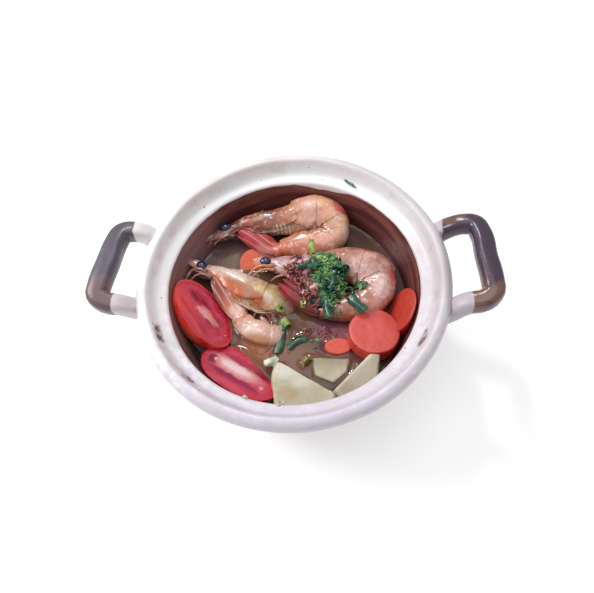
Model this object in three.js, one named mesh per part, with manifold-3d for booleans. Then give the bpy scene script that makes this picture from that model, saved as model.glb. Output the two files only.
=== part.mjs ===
// A clay pot of shrimp soup: a thick-rimmed earthenware pot with two loop handles, filled with a cloudy
// broth in which three head-on shrimps, tomato halves, potato chunks, carrot slices and spring onion
// lie, under a heap of chopped herbs and fried shallot.
//
// Millimetres, +Z up. The origin is the centre of the flat base, the handles lie along X, and the side
// the diner sits at is -Y.

import * as THREE from "three";
import { mergeVertices } from "three/addons/utils/BufferGeometryUtils.js";
import { ParametricGeometry } from "three/addons/geometries/ParametricGeometry.js";
import Module from "manifold-3d";

const wasm = await Module();
wasm.setup();

// ---------------------------------------------------------------- driving dimensions

const GAP = 0.55; // air kept between pieces that lie against each other

const RIM_RADIUS = 105; // outside of the rounded lip
const POT_HEIGHT = 92; // base to crest of the lip
const MOUTH_RADIUS = 86; // inner edge of the lid ledge
const LEDGE_HEIGHT = 78.6; // height of that edge
const FOOT_RADIUS = 66;
const FLOOR_THICKNESS = 8;
const POT_SIDES = 46;

const SOUP_LEVEL = 49;

const ARM_WIDTH = 13; // the two arms of a handle, seen from above
const BAR_HEIGHT = 13; // the same all round it

const TOMATO_LENGTH = 58;
const CARROT_RADIUS = 17.2; // the largest slice
const SHRIMP_TAIL = 36; // length of a folded tail fan

const HEAP_SPOT = [20, 9.5, 62.5]; // middle of the heap of herbs
const HEAP_HALF = [25, 23, 9.5]; // its half sizes
const HEAP_BITS = 27; // chopped pieces that show on it

// ---------------------------------------------------------------- solids and meshes

// The closed body of a geometry, with its shared vertices merged and its collapsed faces dropped.
function solid(geometry) {
  const bare = geometry.index ? geometry.toNonIndexed() : geometry.clone();
  for (const name of Object.keys(bare.attributes)) {
    if (name !== "position") bare.deleteAttribute(name);
  }
  const merged = mergeVertices(bare, 1e-3);
  const corners = [];
  for (let i = 0; i < merged.index.count; i += 3) {
    const [a, b, c] = [0, 1, 2].map((k) => merged.index.getX(i + k));
    if (a !== b && b !== c && c !== a) corners.push(a, b, c);
  }
  return new wasm.Manifold(
    new wasm.Mesh({
      numProp: 3,
      vertProperties: merged.attributes.position.array,
      triVerts: new Uint32Array(corners),
    }),
  );
}

function geometryOf(body) {
  const mesh = body.getMesh();
  const geometry = new THREE.BufferGeometry();
  const positions = new Float32Array(mesh.numVert * 3);
  for (let i = 0; i < mesh.numVert; i++) {
    const start = i * mesh.numProp;
    positions.set(mesh.vertProperties.subarray(start, start + 3), i * 3);
  }
  geometry.setAttribute("position", new THREE.BufferAttribute(positions, 3));
  geometry.setIndex(new THREE.BufferAttribute(mesh.triVerts, 1));
  return geometry;
}

// The same body with every surface moved outwards, to cut a neighbour with air between the two.
function grown(body, distance) {
  const geometry = geometryOf(body);
  geometry.computeVertexNormals();
  const { position, normal } = geometry.attributes;
  for (let i = 0; i < position.count; i++) {
    position.setXYZ(
      i,
      position.getX(i) + normal.getX(i) * distance,
      position.getY(i) + normal.getY(i) * distance,
      position.getZ(i) + normal.getZ(i) * distance,
    );
  }
  return solid(geometry);
}

const joined = (bodies) => bodies.reduce((whole, body) => whole.add(body));
const largest = (body) =>
  body.decompose().reduce((best, b) => (b.volume() > best.volume() ? b : best));

// A body laid in place: turned about X, then Y, then Z, in degrees, and moved.
function laid(geometry, at, turn = [0, 0, 0]) {
  const [x, y, z] = turn.map(THREE.MathUtils.degToRad);
  const matrix = new THREE.Matrix4()
    .makeRotationFromEuler(new THREE.Euler(x, y, z, "ZYX"))
    .setPosition(...at);
  return geometry.clone().applyMatrix4(matrix);
}

// A closed skin over point(around, along), whose two ends draw together into a point each.
function skin(point, slices, stacks) {
  const target = (u, v, result) => result.copy(point(u % 1, v));
  return new ParametricGeometry(target, slices, stacks);
}

function finish(colour, roughness) {
  return new THREE.MeshStandardMaterial({ color: colour, roughness, metalness: 0 });
}

const FINISHES = {
  pot: finish(0xd9d0cc, 0.45),
  soup: finish(0x8a6a50, 0.15),
  shrimp: finish(0xe0a488, 0.35),
  tomato: finish(0xc2304a, 0.3),
  carrot: finish(0xdf5a40, 0.4),
  potato: finish(0xcfc79a, 0.5),
  herbs: finish(0x2f7a40, 0.5),
  onion: finish(0x8fae5a, 0.4),
};

const soupPot = new THREE.Group();
soupPot.name = "pot_of_shrimp_soup";

function addPiece(name, body, material) {
  const mesh = new THREE.Mesh(geometryOf(body), material);
  mesh.name = name;
  soupPot.add(mesh);
  return mesh;
}

// ---------------------------------------------------------------- the clay pot

// Turns a profile of [radius, height] points about Z, from the axis out, up and back to the axis.
function turned(profile, sides = POT_SIDES) {
  const points = profile.map(([radius, height]) => new THREE.Vector2(radius, height));
  return new THREE.LatheGeometry(points, sides).rotateX(Math.PI / 2);
}

// The inside of the pot, from the middle of its floor up to the mouth.
const innerWall = [
  [0, FLOOR_THICKNESS],
  [60, FLOOR_THICKNESS + 1],
  [71, 18],
  [77.5, 34],
  [80.7, SOUP_LEVEL],
  [83.6, 62],
  [MOUTH_RADIUS - 0.4, LEDGE_HEIGHT - 1.6],
];
// Its outside and the rim: the belly, the rounded lip, the step inside it and the ledge for a lid.
const outerWall = [
  [0, 0],
  [FOOT_RADIUS, 0],
  [77, 12],
  [87, 30],
  [93.4, 50],
  [97.5, POT_HEIGHT - 18],
  [99.5, POT_HEIGHT - 14.5],
  [103.4, POT_HEIGHT - 11],
  [RIM_RADIUS, POT_HEIGHT - 7.5],
  [104.6, POT_HEIGHT - 4],
  [102.8, POT_HEIGHT - 1.2],
  [99.6, POT_HEIGHT],
  [96.8, POT_HEIGHT - 1],
  [93.2, LEDGE_HEIGHT + 2.6],
  [MOUTH_RADIUS + 0.6, LEDGE_HEIGHT + 0.2],
];

// One bar of clay bent round a three-sided loop, its two ends pressed into the wall under the lip.
// far and near are the Y of its two arms, nearRoot that of the near arm's end at the pot, and reach is
// how far out the bar lies on the given side.
function handle({ side, reach, far, near, nearRoot, barWidth }) {
  const wall = 92.5;
  const rootHeight = 76;
  const barHeight = POT_HEIGHT + 3;
  const route = new THREE.CatmullRomCurve3(
    [
      [wall, far + 1, rootHeight],
      [wall + 14, far - 0.5, rootHeight + 6],
      [reach - 12, far, barHeight - 4],
      [reach - 3, far - 5, barHeight - 1],
      [reach, far - 15, barHeight],
      [reach + 0.5, (far + near) / 2, barHeight],
      [reach, near + 12, barHeight],
      [reach - 3.5, near + 3.5, barHeight - 1],
      [reach - 12, near - 1, barHeight - 4],
      [wall + 13, nearRoot + 0.5, rootHeight + 6],
      [wall, nearRoot, rootHeight],
    ].map(([x, y, z]) => new THREE.Vector3(side * x, y, z)),
    false,
    "centripetal",
  );
  const up = new THREE.Vector3(0, 0, 1);
  const rings = 22;
  return skin(
    (around, along) => {
      const t = Math.min(1, Math.max(0, (along * (rings + 2) - 1) / rings));
      const at = route.getPointAt(t);
      if (along === 0 || along === 1) return at;
      const across = up.clone().cross(route.getTangentAt(t)).normalize();
      const angle = (around + 1 / 16) * 2 * Math.PI;
      const [cosine, sine] = [Math.cos(angle), Math.sin(angle)];
      const squarish = 1 / (Math.abs(cosine) ** 3 + Math.abs(sine) ** 3) ** (1 / 3);
      const width = ARM_WIDTH + (barWidth - ARM_WIDTH) * Math.sin(Math.PI * t) ** 4;
      return at
        .addScaledVector(across, (width / 2) * squarish * cosine)
        .addScaledVector(up, (BAR_HEIGHT / 2) * squarish * sine);
    },
    8,
    rings + 2,
  );
}

// The room inside the pot that its contents may fill, clear of the wall all round.
const roomTop = POT_HEIGHT + 20;
const insetWall = innerWall.map(([radius, height]) => [Math.max(0, radius - GAP), height + GAP]);
const inside = solid(turned([...insetWall, [MOUTH_RADIUS - 0.4 - GAP, roomTop], [0, roomTop]]));

const bowl = solid(turned([...outerWall, ...innerWall.toReversed()]));
const handles = [
  handle({ side: 1, reach: 127, far: 35, near: -20.5, nearRoot: -24.5, barWidth: 13.5 }),
  handle({ side: -1, reach: 126, far: 32.3, near: -21, nearRoot: -22, barWidth: 15.5 }),
];
addPiece("pot", joined([bowl, ...handles.map(solid)]), FINISHES.pot);

// The contents are laid in one after another. Where a piece is pressed against one that already lies
// there, or against the wall, it gives way and keeps clear of it.
const placed = [];
function lay(name, body, material, gap = GAP) {
  const room = placed.reduce((rest, other) => rest.subtract(grown(other, gap)), inside);
  const fitted = largest(body.intersect(room));
  placed.push(fitted);
  addPiece(name, fitted, material);
}

// ---------------------------------------------------------------- shrimps

// Half sizes of the body from the nose (0) to the root of the tail (1): towards the back, towards the
// belly, and to each side.
const BODY = [
  { t: 0, back: 1.5, belly: 1.5, side: 2 },
  { t: 0.04, back: 4.5, belly: 4, side: 4.5 },
  { t: 0.14, back: 7.5, belly: 7.5, side: 7 },
  { t: 0.26, back: 10.5, belly: 9.5, side: 8.5 },
  { t: 0.36, back: 12, belly: 10, side: 9.3 },
  { t: 0.46, back: 12.8, belly: 10, side: 9.6 },
  { t: 0.6, back: 12.8, belly: 9.5, side: 9.6 },
  { t: 0.75, back: 11, belly: 8, side: 8.8 },
  { t: 0.88, back: 8, belly: 6.5, side: 7.2 },
  { t: 1, back: 5.5, belly: 4.5, side: 5 },
];
const CARAPACE_END = 0.36;
const SEGMENTS = 6;
const SHELL_STEP = 0.05; // each shell ring stands this much of its size over the next one

function bodySize(t, key) {
  const next = Math.max(1, BODY.findIndex((s) => s.t >= t));
  const [a, b] = [BODY[next - 1], BODY[next]];
  return a[key] + ((b[key] - a[key]) * (t - a.t)) / (b.t - a.t);
}

// The places of the body's rings: a smooth head shell, then three to each segment of the tail meat.
function ringPlaces() {
  const places = [0, 0.03, 0.1, 0.2, 0.28].map((t) => ({ t, step: 0 }));
  places.push({ t: CARAPACE_END, step: SHELL_STEP });
  for (let i = 0; i < SEGMENTS; i++) {
    const length = (1 - CARAPACE_END) / SEGMENTS;
    const start = CARAPACE_END + i * length;
    places.push({ t: start + 0.012, step: -SHELL_STEP });
    places.push({ t: start + length / 2, step: 0 });
    places.push({ t: start + length - 0.004, step: i < SEGMENTS - 1 ? SHELL_STEP : -SHELL_STEP });
  }
  return places;
}

function blade(length, width, thickness) {
  return new THREE.SphereGeometry(0.5, 5, 4)
    .rotateZ(Math.PI / 2)
    .scale(length, width, thickness)
    .translate(length / 2, 0, 0);
}

// One shrimp lying on its side, head first along a route in its own XY plane, its back on the left of
// the way from head to tail, and then laid at its place in the pot.
function shrimp({ route, tailAim, tailRise, tailLength, at: place, turn, size = 1 }) {
  const curve = new THREE.CatmullRomCurve3(
    route.map(([x, y, z = 0]) => new THREE.Vector3(x, y, z)),
    false,
    "centripetal",
  );
  curve.arcLengthDivisions = 400;
  const up = new THREE.Vector3(0, 0, 1);
  const frameAt = (t) => {
    const ahead = curve.getTangentAt(Math.min(1, t));
    return { at: curve.getPointAt(Math.min(1, t)), ahead, back: up.clone().cross(ahead).normalize() };
  };

  const places = ringPlaces();
  const body = skin(
    (around, along) => {
      const index = Math.round(along * (places.length + 1)) - 1;
      const closed = index < 0 || index >= places.length;
      const { t, step } = places[Math.min(places.length - 1, Math.max(0, index))];
      const { at, back } = frameAt(t);
      if (closed) return at;
      const angle = -around * 2 * Math.PI;
      const [sine, cosine] = [Math.sin(angle), Math.cos(angle)];
      const depth = bodySize(t, sine > 0 ? "back" : "belly") * size * (1 + step);
      const side = bodySize(t, "side") * size * (1 + step);
      return at.addScaledVector(back, depth * sine).addScaledVector(up, side * cosine);
    },
    9,
    places.length + 1,
  );

  const parts = [solid(body)];
  // A piece set at t along the body, so much towards the back and to the side, pointing along aim.
  const set = (geometry, t, towardsBack, towardsSide, aim, rise = 0) => {
    const { at, ahead, back } = frameAt(t);
    const spot = at.addScaledVector(back, towardsBack * size).addScaledVector(up, towardsSide * size);
    const heading = Math.atan2(ahead.y, ahead.x) + THREE.MathUtils.degToRad(aim);
    const turned = geometry.clone().rotateY(-THREE.MathUtils.degToRad(rise)).rotateZ(heading);
    parts.push(solid(turned.translate(spot.x, spot.y, spot.z)));
  };

  const spike = new THREE.ConeGeometry(1.6 * size, 24 * size, 5)
    .rotateZ(-Math.PI / 2)
    .translate(9 * size, 0, 0);
  set(spike, 0.03, 2, 0, 176);
  for (const side of [-1, 1]) {
    set(blade(24 * size, 5.5 * size, 2 * size), 0.05, -0.5, side * 3, 180 + 5 * side, -3 * side);
    set(new THREE.IcosahedronGeometry(2.7 * size, 0), 0.03, 1.2, side * 4.6, 0);
  }
  const leg = new THREE.CylinderGeometry(0.9 * size, 1.5 * size, 13 * size, 4).translate(0, 3, 0);
  for (let i = 0; i < 4; i++) set(leg, 0.13 + 0.055 * i, -8 - 0.5 * i, 3, 215);
  for (let i = 0; i < 2; i++) set(leg, 0.43 + 0.1 * i, -8, 3, 200);

  // The tail fan: a middle spine and a folded plate on each side of it, lapping one another.
  for (let i = -1; i <= 1; i++) {
    const plate = blade(tailLength * (1.04 - 0.06 * Math.abs(i)), 9 * size, 3.4 * size);
    set(plate, 0.965, 2 * i, 1.6 * i, tailAim + 4 * i, tailRise);
  }
  return solid(laid(geometryOf(joined(parts)), place, turn));
}

lay(
  "shrimp_middle",
  shrimp({
    route: [
      [-41, 17.5], [-31, 15.5], [-17, 13.5], [-2, 13], [11, 14], [22, 15], [32, 12.5], [40, 5],
      [41, -5], [36, -13], [27.5, -17], [17.5, -19.5], [7.5, -20.5],
    ],
    tailAim: -22,
    tailRise: 8,
    tailLength: SHRIMP_TAIL + 6,
    at: [20, 10, 58],
    turn: [6, 0, 0],
  }),
  FINISHES.shrimp,
);
lay(
  "shrimp_top",
  shrimp({
    route: [
      [-53, 0.5], [-40, 5.5], [-27, 6.5], [-14.5, 7.5], [-4, 9.5], [7, 12.5], [18, 13.5], [27.5, 8.5],
      [30, -1], [24, -9], [13, -11.5], [1, -12.5], [-9, -14], [-15.5, -15],
    ],
    tailAim: -27,
    tailRise: 0,
    tailLength: SHRIMP_TAIL,
    at: [0, 55, 60],
    turn: [16, 0, 0],
  }),
  FINISHES.shrimp,
);
lay(
  "shrimp_left",
  shrimp({
    route: [
      [-34, 17], [-23.5, 12.5], [-11, 5.5], [0, -1], [12, -6, -1], [23, -9, -3], [31, -15, -8],
      [33, -24, -10], [27, -31.5, -6], [18, -33, -1], [9, -31], [1, -26], [-4, -20],
    ],
    tailAim: -6,
    tailRise: 6,
    tailLength: SHRIMP_TAIL,
    at: [-35, 7, 53],
    turn: [3, 7, 0],
  }),
  FINISHES.shrimp,
);

// ---------------------------------------------------------------- tomatoes, carrots, potatoes

// Half an oval tomato, cut face up: flat on top, round underneath.
function tomatoHalf(width, depth) {
  const profile = [
    [0, -1], [0.42, -0.93], [0.76, -0.7], [0.95, -0.38], [1, -0.1], [0.965, 0], [0.5, 0.02], [0, 0],
  ];
  return turned(profile, 18).scale(TOMATO_LENGTH / 2, width / 2, depth);
}

function carrotSlice(radius, thickness) {
  const half = thickness / 2;
  const profile = [
    [0, -half], [radius - 1.2, -half], [radius, 1.2 - half], [radius, half - 1.2],
    [radius - 1.2, half], [0, half],
  ];
  return turned(profile, 18);
}

// A boiled potato chunk: a lump of the given half sizes, lying along heading, with one flat knife cut
// given by its direction out of the lump and its distance from the middle.
function potatoChunk({ halfSizes, heading, cutOut, cutAt, at }) {
  const lump = new THREE.SphereGeometry(1, 12, 8).rotateX(Math.PI / 2).scale(...halfSizes);
  const block = 120;
  const waste = new THREE.BoxGeometry(block, block, block).translate(0, 0, block / 2 + cutAt);
  const cutDirection = new THREE.Vector3(...cutOut).normalize();
  const facing = new THREE.Quaternion().setFromUnitVectors(new THREE.Vector3(0, 0, 1), cutDirection);
  waste.applyQuaternion(facing).translate(...at);
  return solid(laid(lump, at, [0, 0, heading])).subtract(solid(waste));
}

lay("carrot_round", solid(laid(carrotSlice(CARROT_RADIUS, 12), [55, -28.5, 53.5], [4, 0, 0])), FINISHES.carrot);
lay("carrot_wall", solid(laid(carrotSlice(16.5, 10), [77.5, -15, 59.5], [0, -60, -10])), FINISHES.carrot);
lay(
  "carrot_small",
  solid(laid(carrotSlice(9.6, 9).scale(1, 0.62, 1), [31, -36.3, 47.8], [8, 0, 6])),
  FINISHES.carrot,
);
lay("carrot_far", solid(laid(carrotSlice(12.5, 10), [-31.5, 31, 46.5], [20, 0, 0])), FINISHES.carrot);
lay("tomato_left", solid(laid(tomatoHalf(36, 16), [-62.5, -15.5, 64.5], [-30, 12, -50])), FINISHES.tomato);
lay("tomato_near", solid(laid(tomatoHalf(38, 16), [-35.5, -54.5, 56.5], [-22, 6, -28])), FINISHES.tomato);
lay(
  "potato_large",
  potatoChunk({ halfSizes: [22, 23, 13], heading: 0, cutOut: [0.5, 0.86, 0], cutAt: 9, at: [8, -68, 50] }),
  FINISHES.potato,
);
lay(
  "potato_wall",
  potatoChunk({
    halfSizes: [18.5, 12, 14],
    heading: 46,
    cutOut: [-0.72, 0.69, 0.2],
    cutAt: 5.4,
    at: [44.2, -60, 54],
  }),
  FINISHES.potato,
);
lay(
  "potato_sunk",
  potatoChunk({ halfSizes: [14, 11, 9], heading: -20, cutOut: [0, 0.15, 1], cutAt: 5.5, at: [25, -52, 46.5] }),
  FINISHES.potato,
);

// ---------------------------------------------------------------- herbs and onion

// A thin wavy leaf lying along X.
function leaf(length, width, thickness, wave) {
  return skin(
    (around, along) => {
      const angle = around * 2 * Math.PI;
      const swell = Math.sin(Math.PI * along) ** 0.7;
      return new THREE.Vector3(
        (along - 0.5) * length,
        (width / 2) * swell * Math.cos(angle),
        wave * Math.sin(2 * Math.PI * along) + (thickness / 2) * swell * Math.sin(angle),
      );
    },
    5,
    4,
  );
}

const onionPiece = (radius, length) => new THREE.CylinderGeometry(radius, radius, length, 6);
const shallotBit = (radius) => new THREE.OctahedronGeometry(radius).scale(1.3, 1, 0.8);

// The same run of numbers from 0 to 1 every time.
function numbers(seed) {
  let state = seed;
  return () => {
    state = (state * 1664525 + 1013904223) % 4294967296;
    return state / 4294967296;
  };
}

// Chopped pieces half sunk in the top of a low mound, spread evenly by turning each one by the golden
// angle from the last: fried shallot on the left of it, green onion and leaves on the rest.
function herbHeap() {
  const draw = numbers(7);
  const [halfX, halfY, halfZ] = HEAP_HALF;
  const mound = new THREE.SphereGeometry(1, 12, 6).rotateX(Math.PI / 2).scale(halfX, halfY, halfZ);
  const parts = [solid(laid(mound, HEAP_SPOT))];
  const goldenAngle = Math.PI * (3 - Math.sqrt(5));
  for (let i = 0; i < HEAP_BITS; i++) {
    const share = Math.sqrt((i + 0.5) / HEAP_BITS) * 0.93;
    const x = share * halfX * Math.cos(i * goldenAngle);
    const y = share * halfY * Math.sin(i * goldenAngle);
    const z = halfZ * Math.sqrt(1 - share * share);
    const turn = [draw() * 60 - 30, draw() * 60 - 30, draw() * 360];
    const size = 0.85 + 0.4 * draw();
    let bit = leaf(12 * size, 7.5 * size, 1.8, 1);
    if (x < -4 && y > -17) bit = shallotBit(2.8 * size);
    else if (i % 3 === 0) bit = onionPiece(2.8 * size, 6 * size);
    parts.push(solid(laid(bit, [HEAP_SPOT[0] + x, HEAP_SPOT[1] + y, HEAP_SPOT[2] + z + 0.6], turn)));
  }
  const stem = onionPiece(1.8, 13);
  parts.push(solid(laid(stem, [11.5, 31.5, 70], [55, 0, 0])));
  const hangingLeaf = leaf(22, 9, 1.8, 1);
  parts.push(solid(laid(hangingLeaf, [39, -9.5, 67.5], [0, 8, -36])));
  return joined(parts);
}

lay("herb_heap", herbHeap(), FINISHES.herbs);

const afloat = SOUP_LEVEL + 0.8; // middle height of what floats on the soup
lay("onion_ring", solid(laid(onionPiece(3.4, 4.5), [-9.4, -8, afloat + 0.4], [70, 0, 20])), FINISHES.onion);
lay("onion_bit", solid(laid(onionPiece(2.9, 6), [-5.2, -17.2, afloat], [0, 0, 35])), FINISHES.onion);
lay("onion_leaf_long", solid(laid(leaf(29, 8, 1.6, 0.5), [-7.6, -28.5, afloat], [8, 0, 86])), FINISHES.herbs);
lay("onion_leaf_short", solid(laid(leaf(11, 7, 1.6, 0.5), [2.3, -33, afloat], [0, 0, 28])), FINISHES.herbs);
lay("onion_pale", solid(laid(onionPiece(3.3, 8), [-13.2, -48.5, afloat + 0.3], [0, 0, 70])), FINISHES.onion);
lay("onion_curl", solid(laid(onionPiece(4.4, 2.6), [9.6, -47.6, afloat], [78, 0, 40])), FINISHES.onion);

// ---------------------------------------------------------------- the soup

const soupSlab = new THREE.BoxGeometry(2 * RIM_RADIUS, 2 * RIM_RADIUS, SOUP_LEVEL);
lay("soup", solid(soupSlab.translate(0, 0, SOUP_LEVEL / 2)), FINISHES.soup, 1.5 * GAP);

export default soupPot;
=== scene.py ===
import math
import random

import bpy
from mathutils import Matrix, Vector, noise
from mathutils.bvhtree import BVHTree

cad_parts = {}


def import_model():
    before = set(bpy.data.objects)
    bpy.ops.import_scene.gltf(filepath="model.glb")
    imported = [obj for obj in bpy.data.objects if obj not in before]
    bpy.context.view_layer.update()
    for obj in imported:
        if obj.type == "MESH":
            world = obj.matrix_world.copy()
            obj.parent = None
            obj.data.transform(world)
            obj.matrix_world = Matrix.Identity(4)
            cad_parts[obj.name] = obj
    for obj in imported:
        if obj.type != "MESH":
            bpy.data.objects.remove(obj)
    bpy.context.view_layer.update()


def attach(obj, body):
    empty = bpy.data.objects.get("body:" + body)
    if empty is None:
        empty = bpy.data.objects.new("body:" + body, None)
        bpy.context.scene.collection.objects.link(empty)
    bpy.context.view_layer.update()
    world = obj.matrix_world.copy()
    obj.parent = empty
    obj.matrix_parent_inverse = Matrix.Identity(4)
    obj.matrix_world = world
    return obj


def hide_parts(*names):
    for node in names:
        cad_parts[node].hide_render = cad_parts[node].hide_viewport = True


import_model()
bpy.ops.object.select_all(action="DESELECT")

# ------------------------------------------------------------------ the view
# The pot is looked down on from in front and a little from one side, in soft light from above, on a
# plain white sweep.
MM = 0.001  # one millimetre, in metres
RIM_TOP = 92 * MM
LOOK_DOWN = math.radians(61.42)
LOOK_ROUND = math.radians(8)
HEAD_TILT = math.radians(-7.34)
DISTANCE = 336 * MM
AIM_ASIDE = (3.8 * MM, -17.06 * MM)
FOCAL_LENGTH = 30.89

swing = Matrix.Rotation(LOOK_ROUND, 3, "Z")
back = Vector((0, -math.cos(LOOK_DOWN), math.sin(LOOK_DOWN)))
level = Vector((1, 0, 0))
rise = back.cross(level)
view_right = swing @ (level * math.cos(HEAD_TILT) + rise * math.sin(HEAD_TILT))
view_up = swing @ (rise * math.cos(HEAD_TILT) - level * math.sin(HEAD_TILT))
view_back = swing @ back
eye = view_back * DISTANCE + view_right * AIM_ASIDE[0] + view_up * AIM_ASIDE[1] + Vector((0, 0, RIM_TOP))

lens = bpy.data.cameras.new("camera")
lens.lens = FOCAL_LENGTH
lens.sensor_width = 36
lens.clip_start = 0.01
lens.clip_end = 20
camera = bpy.data.objects.new("camera", lens)
bpy.context.scene.collection.objects.link(camera)
stand = Matrix((view_right, view_up, view_back)).transposed().to_4x4()
stand.translation = eye
camera.matrix_world = stand
bpy.context.scene.camera = camera
bpy.context.scene.view_settings.view_transform = "Standard"

LAMPS = {  # place, size across, power and colour of each large soft lamp
    "window": ((-0.8, 0.2, 0.8), 0.55, 7.3, (1, 0.985, 0.98)),
    "ceiling": ((0.05, 0.1, 1.3), 0.9, 3.6, (0.97, 0.98, 1)),
    "lamp": ((-0.1, 0.42, 0.6), 0.07, 1.1, (1, 0.98, 0.95)),
}
LIT_SPOT = Vector((0, 0, 0.05))
for name, (hung_at, across, power, colour) in LAMPS.items():
    lamp = bpy.data.lights.new(name, "AREA")
    lamp.shape = "DISK"
    lamp.size = across
    lamp.energy = power
    lamp.color = colour
    hanging = bpy.data.objects.new(name, lamp)
    hanging.location = hung_at
    hanging.rotation_euler = (LIT_SPOT - Vector(hung_at)).to_track_quat("-Z", "Y").to_euler()
    bpy.context.scene.collection.objects.link(hanging)

sky = bpy.data.worlds.new("sky")
sky.use_nodes = True
glow = sky.node_tree.nodes["Background"]
glow.inputs["Color"].default_value = (0.97, 0.98, 1, 1)
glow.inputs["Strength"].default_value = 0.52
bpy.context.scene.world = sky


def put(tree, kind, feeds=None, **settings):
    """Adds one node, sets what it is, and feeds each of its inputs a number, a colour or another output."""
    node = tree.nodes.new(kind)
    for key, value in settings.items():
        setattr(node, key, value)
    for key, value in (feeds or {}).items():
        if isinstance(value, bpy.types.NodeSocket):
            tree.links.new(value, node.inputs[key])
        else:
            node.inputs[key].default_value = value
    return node


def tone(red, green, blue):
    """A colour as an eye reads it, 0 to 255, in the numbers that a shader uses."""
    def linear(value):
        share = value / 255
        return share / 12.92 if share <= 0.04045 else ((share + 0.055) / 1.055) ** 2.4
    return (linear(red), linear(green), linear(blue), 1)


def new_finish(name, roughness, **gloss):
    """An empty finish with its shader, and the place on the object in millimetres."""
    finish = bpy.data.materials.new(name)
    finish.use_nodes = True
    tree = finish.node_tree
    shader = tree.nodes["Principled BSDF"]
    shader.inputs["Roughness"].default_value = roughness
    for key, value in gloss.items():
        shader.inputs[key.replace("_", " ")].default_value = value
    where = put(tree, "ShaderNodeTexCoord").outputs["Object"]
    place = put(tree, "ShaderNodeVectorMath", {0: where, "Scale": 1 / MM}, operation="SCALE")
    return finish, tree, shader, place.outputs["Vector"]


def step(tree, value, low, high, start=0.0, end=1.0):
    """Goes smoothly from start to end as the value goes from low to high."""
    feeds = {"Value": value, "From Min": low, "From Max": high, "To Min": start, "To Max": end}
    return put(tree, "ShaderNodeMapRange", feeds, interpolation_type="SMOOTHSTEP").outputs[0]


def cloud(tree, place, grain, detail=3.0, rough=0.5, turn=0.0):
    """Soft mottling whose blots are about grain millimetres across."""
    feeds = {"Vector": place, "Scale": 1 / grain, "Detail": detail, "Roughness": rough, "Distortion": turn}
    return put(tree, "ShaderNodeTexNoise", feeds).outputs["Fac"]


def cover(tree, share, under, over):
    """Lays one colour over another where share is 1."""
    node = put(tree, "ShaderNodeMix", data_type="RGBA")
    for key, value in ((0, share), (6, under), (7, over)):
        if isinstance(value, bpy.types.NodeSocket):
            tree.links.new(value, node.inputs[key])
        else:
            node.inputs[key].default_value = value
    return node.outputs[2]


SWEEP_SIZE = 6  # metres
bpy.ops.mesh.primitive_plane_add(size=SWEEP_SIZE, location=(0, 0, 0))
sweep = bpy.context.object
sweep.name = "sweep"
paper, tree, shader, place = new_finish("paper", 0.9)
mottle = step(tree, cloud(tree, place, 160), 0.3, 0.7)
tree.links.new(cover(tree, mottle, (0.93, 0.93, 0.93, 1), (0.95, 0.95, 0.95, 1)), shader.inputs["Base Color"])
shader.inputs["Emission Color"].default_value = (1, 1, 1, 1)
shader.inputs["Emission Strength"].default_value = 0.3
sweep.data.materials.append(paper)

# ------------------------------------------------------------------ the pot
# An earthenware pot, thrown on a wheel, with a ledge for a lid inside its thick lip. It is dipped in
# cream slip outside and over the rim, and glazed brown inside.
POT_SIDES = 192
OUTSIDE = [
    (0.5, 1.2), (40, 1.2), (57, 1.2), (60.5, 0), (64.5, 0), (68, 2.6), (73, 7.5), (78, 14), (83, 21.5),
    (87, 30), (90.6, 40), (93.4, 50), (95.8, 62), (97.2, 71), (97.9, 74.5), (99.2, 77), (101.6, 79.4),
    (103.8, 82.2), (104.9, 85.2), (104.7, 88), (103.5, 90.2), (101.4, 91.5), (99.2, 91.8), (97.4, 91),
    (96.2, 89), (95.2, 86.2), (94, 83.4), (92.3, 81.2), (89.6, 80), (87.5, 79.2), (86.3, 78.2),
]
INSIDE = [
    (85.8, 76.6), (85.3, 73.4), (84.4, 67.5), (83.1, 60), (80.9, 49), (78.2, 37), (74.6, 25.5), (69.4, 16.4),
    (61, 10.6), (48, 8.7), (20, 8.2), (0.5, 8),
]
RINGS_A_STEP = 3


def eased(points, steps):
    """Puts more points between the given ones, on a smooth line through them all."""
    ends = [points[0], *points, points[-1]]
    line = []
    for a, b, c, d in zip(ends, ends[1:], ends[2:], ends[3:]):
        for i in range(steps):
            t = i / steps
            line.append(tuple(
                0.5 * (2 * q + (r - p) * t + (2 * p - 5 * q + 4 * r - s) * t * t
                       + (3 * q - p - 3 * r + s) * t ** 3)
                for p, q, r, s in zip(a, b, c, d)
            ))
    return line + [points[-1]]


def open_up(name):
    """Names the piece just added, fixes its place into its mesh and opens it for work."""
    piece = bpy.context.object
    piece.name = name
    piece.data.name = name
    bpy.ops.object.transform_apply(location=True, rotation=True, scale=True)
    bpy.ops.object.mode_set(mode="EDIT")
    bpy.ops.mesh.select_all(action="SELECT")
    return piece


def draw_through(rings):
    """Pulls the selected ring through each (middle, half sizes) in turn, leaving a wall behind it."""
    for (before, old), (after, new) in zip(rings, rings[1:]):
        way = Vector(after) - Vector(before)
        bpy.ops.mesh.extrude_region_move(TRANSFORM_OT_translate={"value": way})
        growth = [b / a for a, b in zip(old, new)]
        bpy.ops.transform.resize(value=growth, center_override=after)


def shade(piece, angle):
    """Shades a piece smooth, but for edges sharper than the angle in degrees."""
    bpy.ops.object.select_all(action="DESELECT")
    piece.select_set(True)
    bpy.context.view_layer.objects.active = piece
    bpy.ops.object.shade_smooth_by_angle(angle=math.radians(angle))
    piece.select_set(False)


def close_up(piece, angle=180):
    """Leaves the work on a piece with its faces pointing out and shaded smooth."""
    bpy.ops.mesh.select_all(action="SELECT")
    bpy.ops.mesh.remove_doubles(threshold=0.00001)
    bpy.ops.mesh.normals_make_consistent(inside=False)
    bpy.ops.object.mode_set(mode="OBJECT")
    shade(piece, angle)


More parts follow.
